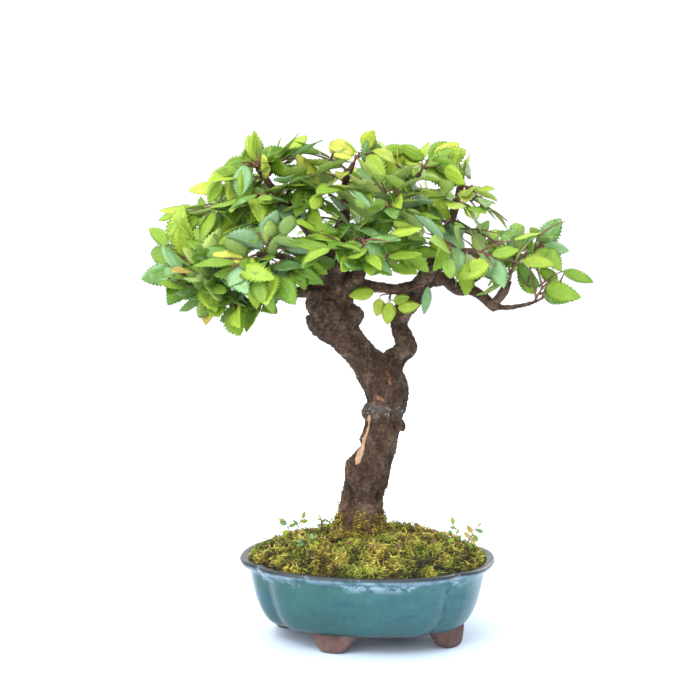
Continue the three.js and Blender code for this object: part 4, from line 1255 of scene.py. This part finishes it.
def lone_leaves(table, draw):
    """Places, headings, normals, lengths, widths and ages of leaves given one by one. Each faces
    the side that the tree shows."""
    base = np.array([row[0] for row in table], float)
    run = np.array([row[1] for row in table], float) - base
    length = np.linalg.norm(run, axis=1)
    heading = unit(run)
    normal = np.array([0.05, -1, 0.25]) + draw.uniform(-0.25, 0.25, base.shape)
    normal = unit(normal - heading * np.sum(normal * heading, 1)[:, None])
    width, age = (np.array([row[k] for row in table], float) for k in (2, 3))
    return (base - heading * STALK, heading, normal, length), width, age


for name, (share, start, table) in HANGING.items():
    leaves, width, age = lone_leaves(table, luck)
    starts = np.vstack([along_bough("east", share), [start] * len(table)])
    tips = np.vstack([start, leaves[0]])
    leafy_piece(f"hanging_{name}", (starts, tips, 0.6, 0.4, 0.3), leaves,
                [name], age, luck, width)
for name, table in LONE_LEAVES.items():
    leaves, width, age = lone_leaves(table, luck)
    starts, tips = (np.array(ends, float) for ends in zip(*BARE_TWIGS[name]))
    leafy_piece(f"lone_leaves_{name}", (starts, tips, 0.75, 0.3, 1.0), leaves,
                [name], age, luck, width)

# ---------------------------------------------------------------------------------- the seedlings
# Small weeds and seedlings that have sown themselves in the moss: soft reddish stems with a few
# pairs of small leaves.

# For each: its place, its height, how many stems, the spread of their tops and a leaf's length.
SPROUTS = {
    "sprout_back_left": [(-50, 6), 13, 2, 6.0, 6.5],
    "sprout_near_trunk": [(-29, 2), 9, 3, 4.0, 3.5],
    "sprout_right": [(64, -4), 13, 4, 10.0, 6.0],
    "sprout_front_left": [(-38, -26), 6, 2, 4.0, 5.0],
}
SPROUT_LEAVES = 4
SPROUT_AGES = [0.05, 0.3, 0.75, 0.97]

for name, ((x, y), tall, stems, spread, leaf_length) in SPROUTS.items():
    pot_x, pot_y, _ = (in_tree([x, y, 0]) - pot_middle) / MM
    ground = float(ground_height(pot_x, pot_y))
    turn = np.arange(stems) / stems * 2 * np.pi + luck.uniform(0, 1)
    low = np.array([x, y, ground - 2.5]) + luck.uniform(-1.5, 1.5, (stems, 3)) * [1, 1, 0]
    high = low + np.stack([spread * np.cos(turn), spread * np.sin(turn),
                           tall * luck.uniform(0.7, 1.1, stems) + 2], -1)
    sets = [leaves_on(*ends, np.array([0.1, -0.7, 0.6]), SPROUT_LEAVES, SIDE_FIRST_LEAF, luck)
            for ends in zip(low, high)]
    leaves = [np.concatenate(parts) for parts in zip(*sets)]
    leaves[3] = leaves[3] / LEAF_LENGTH * leaf_length
    leaves[0] = leaves[0] - leaves[1] * STALK * 0.7
    leafy_piece(f"seedling_{name}", (low, high, 0.35, 0.22, 0.6), leaves, [name],
                luck.choice(SPROUT_AGES, len(leaves[0])), luck)

# ------------------------------------------------------------------------------ the fallen leaves
# Small dead leaves, red-brown and curled, that lie on the moss.

LITTER_COUNT = 32

around = luck.uniform(0, 2 * np.pi, LITTER_COUNT)
reach = plan_radius(around, 16) * np.sqrt(luck.uniform(0.05, 1, LITTER_COUNT))
x, y = reach * np.cos(around), reach * np.sin(around)
base = np.stack([x, y, ground_height(x, y) + 1.4], -1)
normal = unit(np.array([0, -0.3, 1]) + luck.uniform(-0.35, 0.35, base.shape))
heading = unit(np.cross(normal, luck.uniform(-1, 1, base.shape)))
points, _ = blades(base, heading, normal, luck.uniform(3, 6.5, LITTER_COUNT), luck)


def litter_material():
    """Dead leaf: rust to purple-brown, matt."""
    f = Finish("dead_leaf")
    return f.finish(
        Base_Color=f.ramp(f.noise(75, 3), (0.35, (0.150, 0.036, 0.026)),
                          (0.5, (0.200, 0.100, 0.050)), (0.65, (0.060, 0.034, 0.030))),
        Roughness=0.8,
        Normal=f.bump(f.noise(1100, 3), 0.5, 0.0003),
    )


make_piece("fallen_leaves", in_pot(points), blade_faces(LITTER_COUNT), ["moss"],
           [litter_material()])

# ------------------------------------------------------------------------------------- the studio
# A pale floor, bluer around the pot as a painted shadow tint, a pale surround and four soft
#  lamps; the camera stands a little above the tree's middle and looks slightly down at it.

CAMERA_PLACE = [-11.4, -1273.4, 349.5]
CAMERA_PITCH = math.radians(7)
CAMERA_LENS = 100.0
FLOOR_HALF = 4000
SURROUND_LIGHT = 1.2


def floor_material():
    """Smooth matt white board, bluer around the pot as a painted blue tint of the shadow under it.
    """
    f = Finish("white_board")
    far = f.add("VectorMath", {0: f.place}, operation="LENGTH").outputs["Value"]
    # Painted shadow: the floor turns blue near the pot so the shadow under it looks blue, while the
    # lit floor stays white.
    shadow_tint_near_pot = f.between(far, 0.5, 0.2)
    return f.finish(Base_Color=f.mix(shadow_tint_near_pot, (0.88, 0.90, 0.93), (0.67, 0.81, 0.98)),
                    Roughness=0.5)


corners = np.array([[-1, -1, 0], [1, -1, 0], [1, 1, 0], [-1, 1, 0]]) * FLOOR_HALF * MM
floor = surface("floor", corners, [np.array([[0, 1, 2, 3]])])
floor.data.materials.append(floor_material())

world = bpy.data.worlds.new("studio")
world.use_nodes = True
background = world.node_tree.nodes["Background"]
background.inputs["Color"].default_value = (1.0, 1.0, 1.0, 1)
background.inputs["Strength"].default_value = SURROUND_LIGHT
bpy.context.scene.world = world


def lamp(name, place, power, width, color):
    """A square soft lamp that faces the tree."""
    light = bpy.data.lights.new(name, "AREA")
    light.energy = power
    light.size = width
    light.color = color
    lit = placed(name, light)
    lit.location = in_tree(place)
    aim = np.array(in_tree([0, 0, 180])) - np.array(lit.location)
    lit.rotation_mode = "QUATERNION"
    lit.rotation_quaternion = mathutils.Vector(aim).to_track_quat("-Z", "Y")


lamp("overhead", [-300, -300, 1300], 24, 1.4, (1, 0.99, 0.97))
lamp("front_left", [-900, -900, 800], 12, 1.1, (1, 1, 1))
lamp("behind_right", [800, 900, 700], 8, 0.8, (1, 1, 1))
lamp("front_low", [150, -1500, 260], 7, 1.2, (0.92, 0.96, 1))

camera_data = bpy.data.cameras.new("camera")
camera_data.lens = CAMERA_LENS
camera = placed("camera", camera_data)
camera.location = in_tree(CAMERA_PLACE)
camera.rotation_euler = (math.pi / 2 - CAMERA_PITCH, 0, TREE_TURN)
bpy.context.scene.camera = camera
bpy.context.scene.view_settings.view_transform = "Standard"
